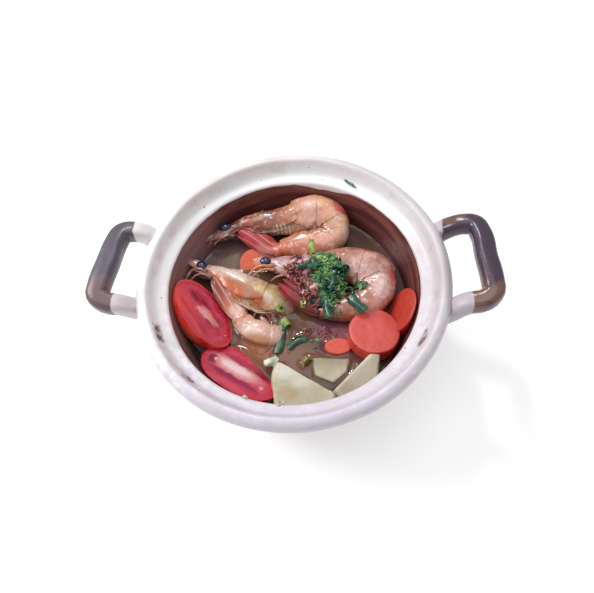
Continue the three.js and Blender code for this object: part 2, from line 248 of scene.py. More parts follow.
def reopen(piece):
    """Opens a piece for work again."""
    bpy.ops.object.select_all(action="DESELECT")
    piece.select_set(True)
    bpy.context.view_layer.objects.active = piece
    bpy.ops.object.mode_set(mode="EDIT")


def apply_to(piece, kind, **settings):
    """Adds a modifier, sets it and applies it."""
    bpy.ops.object.select_all(action="DESELECT")
    piece.select_set(True)
    bpy.context.view_layer.objects.active = piece
    work = piece.modifiers.new("work", kind)
    for key, value in settings.items():
        setattr(work, key, value)
    bpy.ops.object.modifier_apply(modifier="work")
    piece.select_set(False)


def keep(piece, name, numbers):
    """Keeps a number for each point of a piece, for its finish to read."""
    kept = piece.data.attributes.get(name) or piece.data.attributes.new(name, "FLOAT", "POINT")
    kept.data.foreach_set("value", numbers)


wall_line = eased([(r * MM, z * MM) for r, z in OUTSIDE + INSIDE], RINGS_A_STEP)
bpy.ops.mesh.primitive_circle_add(
    vertices=POT_SIDES, radius=wall_line[0][0], fill_type="NGON", location=(0, 0, wall_line[0][1]))
pot = open_up("pot_body")
draw_through([((0, 0, z), (r, r, 1)) for r, z in wall_line])
close_up(pot)

FLOOR_TOP = 8
LEDGE_INNER_EDGE = 87
WALL_SWELL = 0.42  # how far the wall and the rim stray from true, as thrown by hand
RIM_WAVE = 0.35


def is_inside(radius, height):
    """Whether a point of the wall is on its glazed inside: above the floor and within the belly."""
    if height <= FLOOR_TOP - 0.5 or radius >= min(LEDGE_INNER_EDGE, 62 + (height - FLOOR_TOP) * 0.9):
        return False
    return height > 76 or radius < LEDGE_INNER_EDGE - max(0, 60 - height) * 0.26


glazed = []
for vertex in pot.data.vertices:
    radius, height = vertex.co.xy.length / MM, vertex.co.z / MM
    glazed.append(float(is_inside(radius, height)))
    bearing = vertex.co.xy.normalized() if radius > 1 else Vector((0, 0))
    swell = noise.noise(Vector((bearing.x * 2.2, bearing.y * 2.2, height / 30)))
    swell += 0.35 * noise.noise(Vector((bearing.x * 7, bearing.y * 7, height / 9)))
    grip = min(1, radius / 60) * min(1, max(0, height - 3) / 10)
    vertex.co.xy += bearing * swell * WALL_SWELL * grip * MM
    if height > 70:
        vertex.co.z += RIM_WAVE * noise.noise(Vector((bearing.x * 3.1, bearing.y * 3.1, 4.2))) * MM
keep(pot, "glazed", glazed)

# The two handles: bars of clay bent round into loops and pressed on under the lip, glazed brown where
# the slip stops short of them.
HANDLE_START = 96.2  # how far from the middle of the pot the bars begin, inside its wall
HANDLE_ROOT_HEIGHT = 74.5
HANDLE_HEIGHT = 95
HANDLE_THICK = 13
HANDLE_SIDES = 28
HANDLE_RINGS = 64
SQUARENESS = 3.2  # 2 is an oval bar, more is squarer
ROOT_FLARE = 0.42
HANDLES = {
    "right": dict(side=1, reach_far=124.2, reach_near=128, far=35, near=-21.5, near_root=-24.5,
                  arm=12.6, bar=13.6),
    "left": dict(side=-1, reach_far=120.5, reach_near=127.2, far=32.3, near=-22, near_root=-22,
                 arm=12.6, bar=15),
}


def bend_along(piece, route):
    """Bends a piece that lies along X so that it follows a route, its Y staying level."""
    guide_line = bpy.data.curves.new("guide", "CURVE")
    guide_line.dimensions = "3D"
    guide_line.twist_mode = "Z_UP"
    guide_line.resolution_u = 16
    guide_line.use_stretch = False
    guide_line.use_deform_bounds = False
    spline = guide_line.splines.new("BEZIER")
    spline.bezier_points.add(len(route) - 1)
    for knot, spot in zip(spline.bezier_points, route):
        knot.co = Vector(spot)
        knot.handle_left_type = "AUTO"
        knot.handle_right_type = "AUTO"
    guide = bpy.data.objects.new("guide", guide_line)
    bpy.context.scene.collection.objects.link(guide)
    apply_to(piece, "CURVE", object=guide, deform_axis="POS_X")
    bpy.data.objects.remove(guide)


def route_length(route):
    """How long a smooth route through the given points is."""
    line = [Vector(p) for p in eased([tuple(p) for p in route], 12)]
    return sum((b - a).length for a, b in zip(line, line[1:]))


def handle(side, reach_far, reach_near, far, near, near_root, arm, bar):
    """One handle, drawn straight and bent round two tight corners."""
    root, top = HANDLE_ROOT_HEIGHT, HANDLE_HEIGHT
    far_start = math.sqrt(HANDLE_START ** 2 - far ** 2)
    near_start = math.sqrt(HANDLE_START ** 2 - near_root ** 2)
    lean = (reach_near - reach_far) / (far - near)
    route = [
        (far_start, far + 1.2, root), (far_start + 8, far + 0.6, root + 5),
        (reach_far - 16, far + 0.4, top - 5.5), (reach_far - 8, far, top - 2),
        (reach_far - 2, far - 2.4, top - 0.6), (reach_far + 0.5, far - 9, top),
        (reach_far + lean * 27, far - 27, top), (reach_near - lean * 9, near + 9, top),
        (reach_near - 1, near + 3, top - 0.6), (reach_near - 6.5, near - 1.6, top - 2),
        (reach_near - 16, near - 2, top - 5.5), (near_start + 8, near_root, root + 5),
        (near_start, near_root, root),
    ]
    route = [(side * x * MM, y * MM, z * MM) for x, y, z in route]
    length = route_length(route)
    rings = []
    for i in range(HANDLE_RINGS):
        t = i / (HANDLE_RINGS - 1)
        wide = arm + (bar - arm) * math.sin(math.pi * t) ** 4
        high = HANDLE_THICK + 0.5 * math.sin(math.pi * t) ** 2
        to_wall = min(t, 1 - t) * length / MM
        flare = math.exp(-max(0, to_wall - 2) / 3.2)
        size = (1, wide / 2 * (1 + ROOT_FLARE * flare) * MM, high / 2 * (1 + 0.12 * flare) * MM)
        rings.append(((t * length, 0, 0), size))
    bpy.ops.mesh.primitive_circle_add(
        vertices=HANDLE_SIDES, radius=1, fill_type="NGON", rotation=(0, math.pi / 2, 0))
    piece = open_up("handle")
    bpy.ops.transform.resize(value=rings[0][1], center_override=(0, 0, 0))
    draw_through(rings)
    close_up(piece)
    for vertex in piece.data.vertices:
        t = min(HANDLE_RINGS - 1, round(vertex.co.x / length * (HANDLE_RINGS - 1)))
        wide, high = rings[t][1][1:]
        y, z = vertex.co.y / wide, vertex.co.z / high
        squarish = 1 / (abs(y) ** SQUARENESS + abs(z) ** SQUARENESS + 1e-9) ** (1 / SQUARENESS)
        round_edge = math.hypot(y, z) * squarish if t not in (0, HANDLE_RINGS - 1) else 1
        vertex.co.y *= round_edge
        vertex.co.z *= round_edge
        lump = noise.noise(Vector((vertex.co.x * 70, y, z)) + Vector((side * 5, 0, 0)))
        vertex.co.y += 0.35 * lump * MM
        vertex.co.z += 0.3 * lump * MM
    bend_along(piece, route)
    return piece


for sizes in HANDLES.values():
    bar = handle(**sizes)
    reopen(bar)
    close_up(bar)
    apply_to(pot, "BOOLEAN", operation="UNION", solver="EXACT", object=bar)
    bpy.data.objects.remove(bar)
shade(pot, 60)


def calc(tree, operation, first, second=0.0):
    """One step of arithmetic on one or two values."""
    return put(tree, "ShaderNodeMath", {0: first, 1: second}, operation=operation).outputs[0]


def times(tree, first, second):
    """One value times another."""
    return calc(tree, "MULTIPLY", first, second)


def plus(tree, first, second):
    """Two values added."""
    return calc(tree, "ADD", first, second)


def less(tree, first, second):
    """The first value less the second."""
    return calc(tree, "SUBTRACT", first, second)


def point(tree, x, y, z=0.0):
    """A place made of three values."""
    return put(tree, "ShaderNodeCombineXYZ", {0: x, 1: y, 2: z}).outputs[0]


def shifted(tree, operation, place, other):
    """One step of arithmetic between two places."""
    return put(tree, "ShaderNodeVectorMath", {0: place, 1: other}, operation=operation).outputs[0]


def reach_of(tree, place):
    """How far a place lies from the middle."""
    return put(tree, "ShaderNodeVectorMath", {0: place}, operation="LENGTH").outputs["Value"]


def noted(tree, name):
    """The number that a piece keeps for each of its points."""
    return put(tree, "ShaderNodeAttribute", attribute_name=name).outputs["Fac"]


def grains(tree, place, apart):
    """Cells about the given millimetres apart: how far a place is from its cell's middle, and a colour."""
    cells = put(tree, "ShaderNodeTexVoronoi", {"Vector": place, "Scale": 1 / apart}, feature="F1")
    return cells.outputs["Distance"], cells.outputs["Color"]


def split(tree, place):
    """The X, Y and Z of a place."""
    parts = put(tree, "ShaderNodeSeparateXYZ", {0: place})
    return parts.outputs[0], parts.outputs[1], parts.outputs[2]


def patch(tree, place, middle, half, soft):
    """1 inside an oval of the given half sizes round a middle, fading to 0 outside it."""
    moved = shifted(tree, "SUBTRACT", place, middle)
    reach = reach_of(tree, shifted(tree, "DIVIDE", moved, half))
    return step(tree, reach, 1 - soft, 1 + soft, 1.0, 0.0)


def relief(tree, shader, height, depth, strength):
    """Raises fine relief of the given depth in millimetres from a 0 to 1 height."""
    feeds = {"Height": height, "Distance": depth * MM, "Strength": strength}
    bump = put(tree, "ShaderNodeBump", feeds)
    tree.links.new(bump.outputs[0], shader.inputs["Normal"])


CREAM = tone(240, 236, 236)
CREAM_WARM = tone(228, 219, 214)
CREAM_COOL = tone(214, 206, 218)
GLAZE_INSIDE = tone(144, 90, 80)
GLAZE_DEEP = tone(97, 50, 51)
GLAZE_HANDLE = tone(66, 48, 66)
GLAZE_HANDLE_WARM = tone(112, 78, 66)
STAIN = tone(104, 58, 54)
SPECK = tone(88, 66, 62)

clay, tree, shader, place = new_finish("slipped_clay", 0.42, Coat_Weight=0.25, Coat_Roughness=0.18)
x, y, z = split(tree, place)
radius = reach_of(tree, shifted(tree, "MULTIPLY", place, (1, 1, 0)))
broad = cloud(tree, place, 34, 2)
fine = cloud(tree, place, 5, 4, 0.6)
slip = cover(tree, step(tree, broad, 0.38, 0.62), CREAM, CREAM_WARM)
cool = step(tree, plus(tree, fine, times(tree, y, -0.002)), 0.42, 0.8)
slip = cover(tree, cool, slip, CREAM_COOL)
lip = times(tree, step(tree, radius, 94, 98), step(tree, z, 84, 90))
lip = times(tree, lip, step(tree, plus(tree, y, times(tree, x, 0.6)), -60, 60))
brushed = point(tree, radius, times(tree, calc(tree, "ARCTAN2", y, x), 18.0), z)
brushed = step(tree, cloud(tree, brushed, 3.4, 4, 0.62), 0.42, 0.72)
# Painted light and shade on the slip, as the lamps light the pot from the left. The left of the rim is
# painted lighter and its outermost left edge darker. The right of the pot and the near side of the rim are
# painted darker, and the far ledge lighter. Painted shade lies on the right handle's root and under the left
# handle's lower root. The brush marks fade towards the left, adding to the painted light there.
lit_left_rim = times(tree, step(tree, x, -70, -100, 0.0, 0.8), step(tree, radius, 104, 101))
lit_far_ledge = times(tree, step(tree, y, 10, 70), step(tree, radius, 98, 95))
shaded_low_root = times(tree, step(tree, x, -94, -100), step(tree, y, -8, -16))
for share, wash in (
    (times(tree, lip, plus(tree, 0.25, times(tree, fine, 0.5))), (205, 194, 192)),
    (times(tree, brushed, step(tree, x, -110, -30, 0.12, 0.42)), (190, 178, 184)),
    (lit_left_rim, (250, 248, 249)),
    (step(tree, x, -101, -106, 0.0, 0.6), (216, 208, 210)),
    (step(tree, x, -30, 100, 0.0, 0.55), (190, 184, 192)),
    (step(tree, y, -66, -100, 0.0, 0.6), (196, 190, 204)),
    (times(tree, lit_far_ledge, 0.75), (246, 248, 250)),
    (times(tree, step(tree, x, 96, 102), 0.75), (168, 158, 166)),
    (times(tree, shaded_low_root, 0.6), (190, 178, 178)),
):
    slip = cover(tree, share, slip, tone(*wash))

# Dark specks in the slip, and brown stains and chips in the groove round the ledge.
apart, cell_tone = grains(tree, place, 5.2)
size_number = put(tree, "ShaderNodeSeparateColor", {0: cell_tone}).outputs[0]
dots = calc(tree, "LESS_THAN", apart, times(tree, calc(tree, "POWER", size_number, 5.0), 0.16))
slip = cover(tree, times(tree, dots, 0.75), slip, SPECK)
groove = times(tree, step(tree, radius, 92, 94.5), step(tree, radius, 95.2, 97.4, 1.0, 0.0))
groove = times(tree, groove, step(tree, z, 80, 82))
worn = times(tree, groove, step(tree, cloud(tree, place, 16, 3, 0.6), 0.5, 0.72))
slip = cover(tree, times(tree, worn, 0.2), slip, STAIN)
for middle, half in (
    ((-84.5, -42.5, 84), (4.2, 10, 5)), ((82.8, -45.2, 84), (4.2, 9.0, 5)), ((-62, -73, 86), (5, 4, 5)),
):
    chip = times(tree, patch(tree, place, middle, half, 0.25), groove)
    slip = cover(tree, times(tree, chip, step(tree, fine, 0.35, 0.6, 0.4, 1.0)), slip, STAIN)
# Painted shade: the slip goes darker down the outside of the pot, under the overhanging lip.
slip = cover(tree, step(tree, z, 78, 56, 0.0, 0.85), slip, tone(186, 175, 168))

# The brown glaze inside stops at a wavering edge under the ledge, with one run of slip over it.
run = patch(tree, place, (23, 82, 77), (17, 9, 8), 0.5)
edge = plus(tree, z, times(tree, cloud(tree, place, 9, 2), 1.6))
edge = plus(tree, edge, times(tree, run, 3.2))
bare = times(tree, noted(tree, "glazed"), step(tree, edge, 77.7, 78.3, 1.0, 0.0))
throwing = cloud(tree, shifted(tree, "MULTIPLY", place, (0.12, 0.12, 1)), 5, 3)
glaze = cover(tree, step(tree, throwing, 0.35, 0.7), GLAZE_DEEP, GLAZE_INSIDE)
glaze = cover(tree, step(tree, z, 45, 74), GLAZE_DEEP, glaze)
glaze = cover(tree, step(tree, x, -50, -80, 0.0, 0.5), glaze, tone(172, 142, 140))
near_right = times(tree, step(tree, x, 10, 40), step(tree, y, -30, -50))
glaze = cover(tree, times(tree, near_right, 0.8), glaze, tone(112, 40, 50))
colour = cover(tree, bare, slip, glaze)

# The handles are glazed from a slanting line on each arm, browner at the corners of the right one.
reach = plus(tree, calc(tree, "ABSOLUTE", x), times(tree, cloud(tree, place, 7, 2), 3.0))
left_start = step(tree, y, -12, 0, 114.6, 109.6)
right_start = step(tree, y, -17, -9, 113.6, 101.5)
on_right = calc(tree, "GREATER_THAN", x, 0.0)
on_left = less(tree, 1.0, on_right)
start = plus(tree, times(tree, on_right, right_start), times(tree, on_left, left_start))
glossy = step(tree, less(tree, reach, plus(tree, start, 1.5)), -0.6, 0.6)
glossy = times(tree, glossy, calc(tree, "GREATER_THAN", radius, 105.2))
speckle = cloud(tree, place, 1.4, 3, 0.7)
corner = step(tree, calc(tree, "ABSOLUTE", less(tree, y, 12.0)), 12, 32, -0.16, 0.16)
browner = plus(tree, cloud(tree, place, 12, 3), corner)
handle_tone = cover(tree, step(tree, browner, 0.42, 0.64), GLAZE_HANDLE, GLAZE_HANDLE_WARM)
left_tone = cover(tree, step(tree, browner, 0.4, 0.62), tone(84, 78, 94), tone(100, 80, 88))
handle_tone = cover(tree, times(tree, on_left, 0.75), handle_tone, left_tone)
handle_tone = cover(tree, step(tree, speckle, 0.5, 0.8, 0.0, 0.35), handle_tone, tone(40, 30, 38))
colour = cover(tree, glossy, colour, handle_tone)
tree.links.new(colour, shader.inputs["Base Color"])
shine = calc(tree, "MAXIMUM", bare, times(tree, glossy, step(tree, x, -20, 20, 0.35, 1.0)))
tree.links.new(less(tree, 0.5, times(tree, shine, 0.25)), shader.inputs["Roughness"])
worked = plus(tree, fine, times(tree, throwing, 0.6))
relief(tree, shader, plus(tree, worked, times(tree, speckle, 0.25)), 0.4, 0.6)
pot.data.materials.clear()
pot.data.materials.append(clay)
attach(pot, "root")
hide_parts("pot")

# ------------------------------------------------------------------ shrimps
# Three boiled shrimps with their heads on, curled on their sides: a smooth head shell with a toothed
# spike, six shell rings lapped over the tail meat, thin legs, and a long folded tail fan.
HEAD_TO_TAIL = 130  # length of the straight model from the nose to the root of the tail fan
FAN_LENGTH = 38
FAN_TIP = 1.3       # how far along the tip of the fan lies
LEAD = 26           # room on the bending line ahead of the nose
HEAD_SHELL_END = 0.36
RINGS = 6
RING_OVERLAP = 1.22  # each ring of shell covers this much of its own length, so it laps over the next
SHELL_SIDES = 40
SHELL_THICKNESS = 0.55
MEAT_RINGS = 60
LEGS = 5             # walking legs on each side, and as many swimming feet
JAW_LEGS = 3
SPIKE_RINGS = 22
BLADE_RINGS = 12
EYE_TURN = 52        # how far outwards each eye looks, in degrees
BODY = [  # how far along, from 0 at the nose to 1, then the reach of the back, the belly and each side
    (0, 1.8, 1.5, 2), (0.04, 4.6, 4, 4.4), (0.14, 7.8, 7.2, 7), (0.26, 10.8, 9, 8.5),
    (0.36, 12, 9.6, 9.3), (0.46, 12.6, 9.6, 9.6), (0.6, 12.5, 9.3, 9.6), (0.75, 11, 8, 8.8),
    (0.88, 8.2, 6.4, 7.2), (1, 5.2, 4.2, 4.6),
]
body_line = eased(BODY, 6)


def row_at(table, t):
    """What a table gives at t, between its rows on both sides of t."""
    after = next((i for i, row in enumerate(table) if row[0] >= t), len(table) - 1)
    a, b = table[max(0, after - 1)], table[after]
    share = 0 if b[0] == a[0] else min(1, max(0, (t - a[0]) / (b[0] - a[0])))
    return [p + (q - p) * share for p, q in zip(a[1:], b[1:])]


def body_at(t):
    """Lift of the middle, half height and half width of the body at t from the nose."""
    upper, lower, side = row_at(body_line, t)
    return (upper - lower) / 2, (upper + lower) / 2, side


def drawn_tube(name, rings, sides):
    """A closed tube drawn along X through rings of (x, lift, half height, half width) in millimetres."""
    line = [((x * MM, lift * MM, 0), (1, high * MM, wide * MM)) for x, lift, high, wide in rings]
    bpy.ops.mesh.primitive_circle_add(
        vertices=sides, radius=1, fill_type="NGON", rotation=(0, math.pi / 2, 0))
    piece = open_up(name)
    bpy.ops.transform.resize(value=line[0][1], center_override=(0, 0, 0))
    bpy.ops.transform.translate(value=line[0][0])
    draw_through(line)
    return piece


def pick(piece, wanted):
    """Selects only the faces that a test of their middle, in millimetres, and their normal picks out."""
    bpy.ops.object.mode_set(mode="OBJECT")
    for kind in (piece.data.vertices, piece.data.edges, piece.data.polygons):
        kind.foreach_set("select", [False] * len(kind))
    for face in piece.data.polygons:
        face.select = wanted(face.center / MM, face.normal)
    bpy.ops.object.mode_set(mode="EDIT")
    bpy.ops.mesh.select_mode(type="FACE")


def cut_away(piece, unwanted):
    """Deletes the faces that the test picks out."""
    pick(piece, unwanted)
    bpy.ops.mesh.delete(type="FACE")
    bpy.ops.mesh.select_mode(type="VERT")
    bpy.ops.mesh.select_all(action="SELECT")


def join_into(first, others):
    """Makes one piece of several."""
    bpy.ops.object.select_all(action="DESELECT")
    for piece in [first, *others]:
        piece.select_set(True)
    bpy.context.view_layer.objects.active = first
    bpy.ops.object.join()
    first.select_set(False)
    return first


def record(piece, name, value_of):
    """Keeps a number for each point of a piece, worked out from its place in millimetres."""
    keep(piece, name, [value_of(v.co / MM) for v in piece.data.vertices])


def marked(piece):
    """Keeps how far along the body and how high on it each point of a straight piece lies."""
    def high(p):
        lift, half, _ = body_at(min(1, max(0.02, p.x / HEAD_TO_TAIL)))
        return max(-1.5, min(1.5, (p.y - lift) / half))

    record(piece, "along", lambda p: p.x / HEAD_TO_TAIL)
    record(piece, "high", high)
    return piece


def shell_piece(name, start, end, swell, lowest, lobe, count):
    """One ring of shell over the body from start to end, open underneath, its lower edge a rounded lobe."""
    rings = []
    for i in range(count):
        t = start + (end - start) * i / (count - 1)
        lift, high, wide = body_at(min(1, t))
        grow = swell(i / (count - 1))
        rings.append((t * HEAD_TO_TAIL, lift, high * grow, wide * grow))
    piece = drawn_tube(name, rings, SHELL_SIDES)

    def unwanted(middle, normal):
        if abs(normal.x) > 0.95:
            return True
        t = middle.x / HEAD_TO_TAIL
        lift, high, _ = body_at(min(1, t))
        share = (t - start) / (end - start)
        return (middle.y - lift) / high < lowest + lobe * (2 * share - 1) ** 2

    cut_away(piece, unwanted)
    bpy.ops.mesh.normals_make_consistent(inside=False)
    bpy.ops.object.mode_set(mode="OBJECT")
    uses = {}
    for face in piece.data.polygons:
        for edge in face.edge_keys:
            uses[edge] = uses.get(edge, 0) + 1
    for index in {i for edge, used in uses.items() if used == 1 for i in edge}:
        spot = piece.data.vertices[index].co
        share = (spot.x / MM / HEAD_TO_TAIL - start) / (end - start)
        if 0.02 < share < 0.98:
            lift, high, wide = body_at(min(1, spot.x / MM / HEAD_TO_TAIL))
            edge_at = lowest + lobe * (2 * share - 1) ** 2
            spot.y = (lift + high * swell(share) * edge_at) * MM
            spot.z = math.copysign(wide * swell(share) * math.sqrt(1 - edge_at ** 2) * MM, spot.z)
    apply_to(piece, "SOLIDIFY", thickness=SHELL_THICKNESS * MM, offset=-1)
    apply_to(piece, "SUBSURF", levels=1, render_levels=1)
    return piece


def blade(name, start, length, lift, width, thick, tilt, aside, sides=10):
    """A thin pointed plate along X, as a tail plate or a swimming foot, leaning by tilt and set aside."""
    rings = []
    for i in range(BLADE_RINGS):
        s = i / (BLADE_RINGS - 1)
        shape = math.sin(math.pi * min(1, 0.12 + 0.86 * s) ** 1.15) ** 0.8
        rings.append((start + length * s, lift + tilt * length * s, max(0.15, width * shape),
                      max(0.12, thick * (1.1 - 0.8 * s))))
    piece = drawn_tube(name, rings, sides)
    close_up(piece)
    for vertex in piece.data.vertices:
        vertex.co.z += aside * MM
    return piece


def straight_shrimp():
    """The parts of one shrimp, lying straight with its nose at the origin and its back towards +Y."""
    step_length = (1 - HEAD_SHELL_END) / RINGS
    shell = shell_piece("shell", 0.012, HEAD_SHELL_END + 0.02,
                        lambda s: 1.0 + 0.055 * max(0, s - 0.8) / 0.2, -0.66, 0.28, 26)
    plates = []
    for i in range(RINGS):
        start = HEAD_SHELL_END + i * step_length
        end = start + step_length * (RING_OVERLAP if i < RINGS - 1 else 1.0)
        plates.append(shell_piece(
            "ring", start - 0.004, end,
            lambda s: 0.965 + 0.075 * math.sin(math.pi * min(1, s * 0.62 + 0.02)), -0.8, 0.34, 9))
    spike = []
    for i in range(SPIKE_RINGS):
        s = i / (SPIKE_RINGS - 1)
        tooth = 0.55 * (i % 3 == 0) * (1 - s)
        spike.append((26 - 46 * s, 9.6 - 7.2 * min(1, s * 2.1) + 1.4 * max(0, s - 0.6) + tooth * 0.5,
                      max(0.2, 1.7 * (1 - s) + tooth), max(0.15, 1.1 * (1 - s * 0.8))))
    rostrum = drawn_tube("spike", spike, 10)
    close_up(rostrum)
    fan = []
    for lean, aside, wide, long in (
        (0.0, 0.0, 2.3, 0.93), (0.05, 1.5, 3.6, 1.0), (-0.05, 1.4, 3.6, 0.97),
        (0.09, -1.0, 3.8, 0.98), (-0.09, -1.1, 3.8, 0.94),
    ):
        fan.append(blade("plate", HEAD_TO_TAIL - 6, FAN_LENGTH * long + 5, lean * 16, wide, 1.25,
                         lean * 0.5, aside))
    join_into(shell, [*plates, rostrum, *fan])

    inner = [(2, 0, 3, 3)]
    for i in range(MEAT_RINGS):
        t = 0.03 + 0.965 * i / (MEAT_RINGS - 1)
        lift, high, wide = body_at(t)
        part = (t - HEAD_SHELL_END) / step_length
        pinch = 0.9 + 0.03 * math.cos(2 * math.pi * part) if t > HEAD_SHELL_END else 0.86
        inner.append((t * HEAD_TO_TAIL, lift, high * pinch, wide * pinch))
    inner.append((HEAD_TO_TAIL + 4, 0, 2, 2))
    meat = drawn_tube("meat", inner, 32)
    close_up(meat)
    limbs = []
    for side in (-1, 1):
        for i in range(LEGS):
            x = 17 + 6.2 * i
            reach = 24 - 1.5 * i
            leg = [(x, -6, 1.5, 1.5), (x + 1, -10.5, 1.3, 1.3), (x + 4, -13.5, 1.1, 1.1),
                   (x + reach * 0.5, -14.6, 1, 1), (x + reach * 0.58, -14, 0.75, 0.75),
                   (x + reach * 0.9, -12, 0.55, 0.55), (x + reach, -10.6, 0.2, 0.2)]
            leg = drawn_tube("leg", eased(leg, 3), 8)
            close_up(leg)
            for vertex in leg.data.vertices:
                vertex.co.z += side * (3.2 + 0.35 * i) * MM
            limbs.append(leg)
        for i in range(LEGS):
            x = HEAD_TO_TAIL * (0.415 + 0.1 * i)
            limbs.append(blade("foot", x, 13.5 - i, -7.6 + 0.4 * i, 2.4, 0.8, -0.42, side * 3.2, 8))
        for i in range(JAW_LEGS):
            limbs.append(blade("jaw", 16 - 3 * i, -17, -3.4 - 1.3 * i, 1.1, 0.8, 0.1, side * (1.4 + i), 8))
    limbs = join_into(limbs[0], limbs[1:])

    scales = []
    for side in (-1, 1):
        scales.append(blade("scale", 6, -27, -1.2, 3.0, 0.7, 0.02, side * 3.0))
        scales.append(blade("stalk", 5, -17, 1.3, 0.9, 0.9, -0.06, side * 1.6, 8))
    scales = join_into(scales[0], scales[1:])

    eyes = []
    for side in (-1, 1):
        profile = [(0, 0.9), (1.6, 1), (2.2, 1.9), (3, 2.6), (4.2, 2.95), (5.4, 2.75), (6.4, 1.9), (7, 0.5)]
        ball = drawn_tube("eye", [(x, 0, r, r) for x, r in profile], 20)
        close_up(ball)
        aim = Matrix.Rotation(math.radians(-side * EYE_TURN), 4, "Y") @ Matrix.Rotation(math.pi, 4, "Z")
        ball.data.transform(Matrix.Translation(Vector((4.5, 2.2, side * 2.2)) * MM) @ aim)
        eyes.append(ball)
    eyes = join_into(eyes[0], eyes[1:])
    return {"shell": shell, "meat": meat, "limbs": limbs, "scales": scales, "eyes": eyes}


def copy_of(piece, name):
    """A copy of a piece with its own mesh."""
    twin = piece.copy()
    twin.data = piece.data.copy()
    twin.name = name
    twin.data.name = name
    bpy.context.scene.collection.objects.link(twin)
    return twin


def lay_down(piece, at, turn):
    """Turns a piece about X, then Y, then Z, in degrees, and moves it, all in millimetres."""
    swing = Matrix.Rotation(math.radians(turn[2]), 4, "Z") @ Matrix.Rotation(math.radians(turn[1]), 4, "Y")
    swing = swing @ Matrix.Rotation(math.radians(turn[0]), 4, "X")
    piece.data.transform(Matrix.Translation(Vector(at) * MM) @ swing)
    piece.data.update()


def curled(parts, name, route, tail_aim, tail_rise, tail_length, at, turn, fuller, limbs, fan, eye, spur,
           nose):
    """Copies the straight shrimp, fills it out, fits it to a route, bends it and lays it in the pot."""
    route = [Vector((p + (0,))[:3]) * MM for p in route]
    first = (route[0] - route[1]).normalized()
    last = route[-1] - route[-2]
    heading = math.atan2(last.y, last.x) + math.radians(tail_aim)
    lean = math.radians(tail_rise)
    way = Vector((math.cos(heading) * math.cos(lean), math.sin(heading) * math.cos(lean), math.sin(lean)))
    line = [route[0] + first * LEAD * MM, *route, route[-1] + way * tail_length * MM * 0.5,
            route[-1] + way * tail_length * MM]
    body_length = route_length(route) / MM
    eye_size, eye_shift, eye_drop = eye
    made = {}
    for part, straight in parts.items():
        piece = copy_of(straight, name + "_" + part)
        if part == "shell":
            barb = blade("spur", 0, 13, 0, 3.2, 2.6, 0.32, 0)
            for vertex in barb.data.vertices:
                vertex.co.x += spur * HEAD_TO_TAIL * MM
                vertex.co.y += (body_at(spur)[1] * row_at(fuller, spur)[0] - 2.2) * MM
            marked(barb)
            join_into(piece, [barb])
        for vertex in piece.data.vertices:
            x, y, z = vertex.co / MM
            t = min(1, max(0, x / HEAD_TO_TAIL))
            back, belly = row_at(fuller, t)
            if part == "eyes":
                x, y, z = (x - 4.5) * eye_size * 1.25 + 4.5 + eye_shift, y * eye_size - eye_drop, z * eye_size
            elif part == "limbs":
                y *= limbs
            elif t > 0.97:
                y *= 1 + (fan - 1) * min(1, (t - 0.97) / 0.03)
                z *= 1.15
            elif part in ("shell", "meat"):
                y *= back if y > 0 else belly
            if part in ("shell", "meat") and 0.03 < t < 1:
                lump = noise.noise(Vector((x / 9, y / 8, z / 8 + len(name) + route[0].x * 100)))
                y += 0.8 * lump * (1 if y > 0 else -1)
                z += 0.7 * lump * (1 if z > 0 else -1)
            if x < 0 and part != "eyes":
                x *= nose
            if x > HEAD_TO_TAIL:
                x = body_length + (x - HEAD_TO_TAIL) * tail_length / FAN_LENGTH
            elif x > 0:
                x *= body_length / HEAD_TO_TAIL
            vertex.co = Vector((x + LEAD, y, z)) * MM
        bend_along(piece, line)
        lay_down(piece, at, turn)
        made[part] = piece
    return made


FEELER_RINGS = 15
FEELER_TIP = 0.25


def feeler(route, thick):
    """A thin feeler or curl along a route in millimetres, thinning to its tip."""
    route = [Vector(spot) * MM for spot in route]
    length = route_length(route) / MM
    rings = []
    for i in range(FEELER_RINGS):
        s = i / (FEELER_RINGS - 1)
        size = thick * (1 - (1 - FEELER_TIP) * s) * (0.4 if s in (0, 1) else 1)
        rings.append((length * s, 0, size, size))
    piece = drawn_tube("feeler", rings, 8)
    close_up(piece)
    bend_along(piece, route)
    return piece


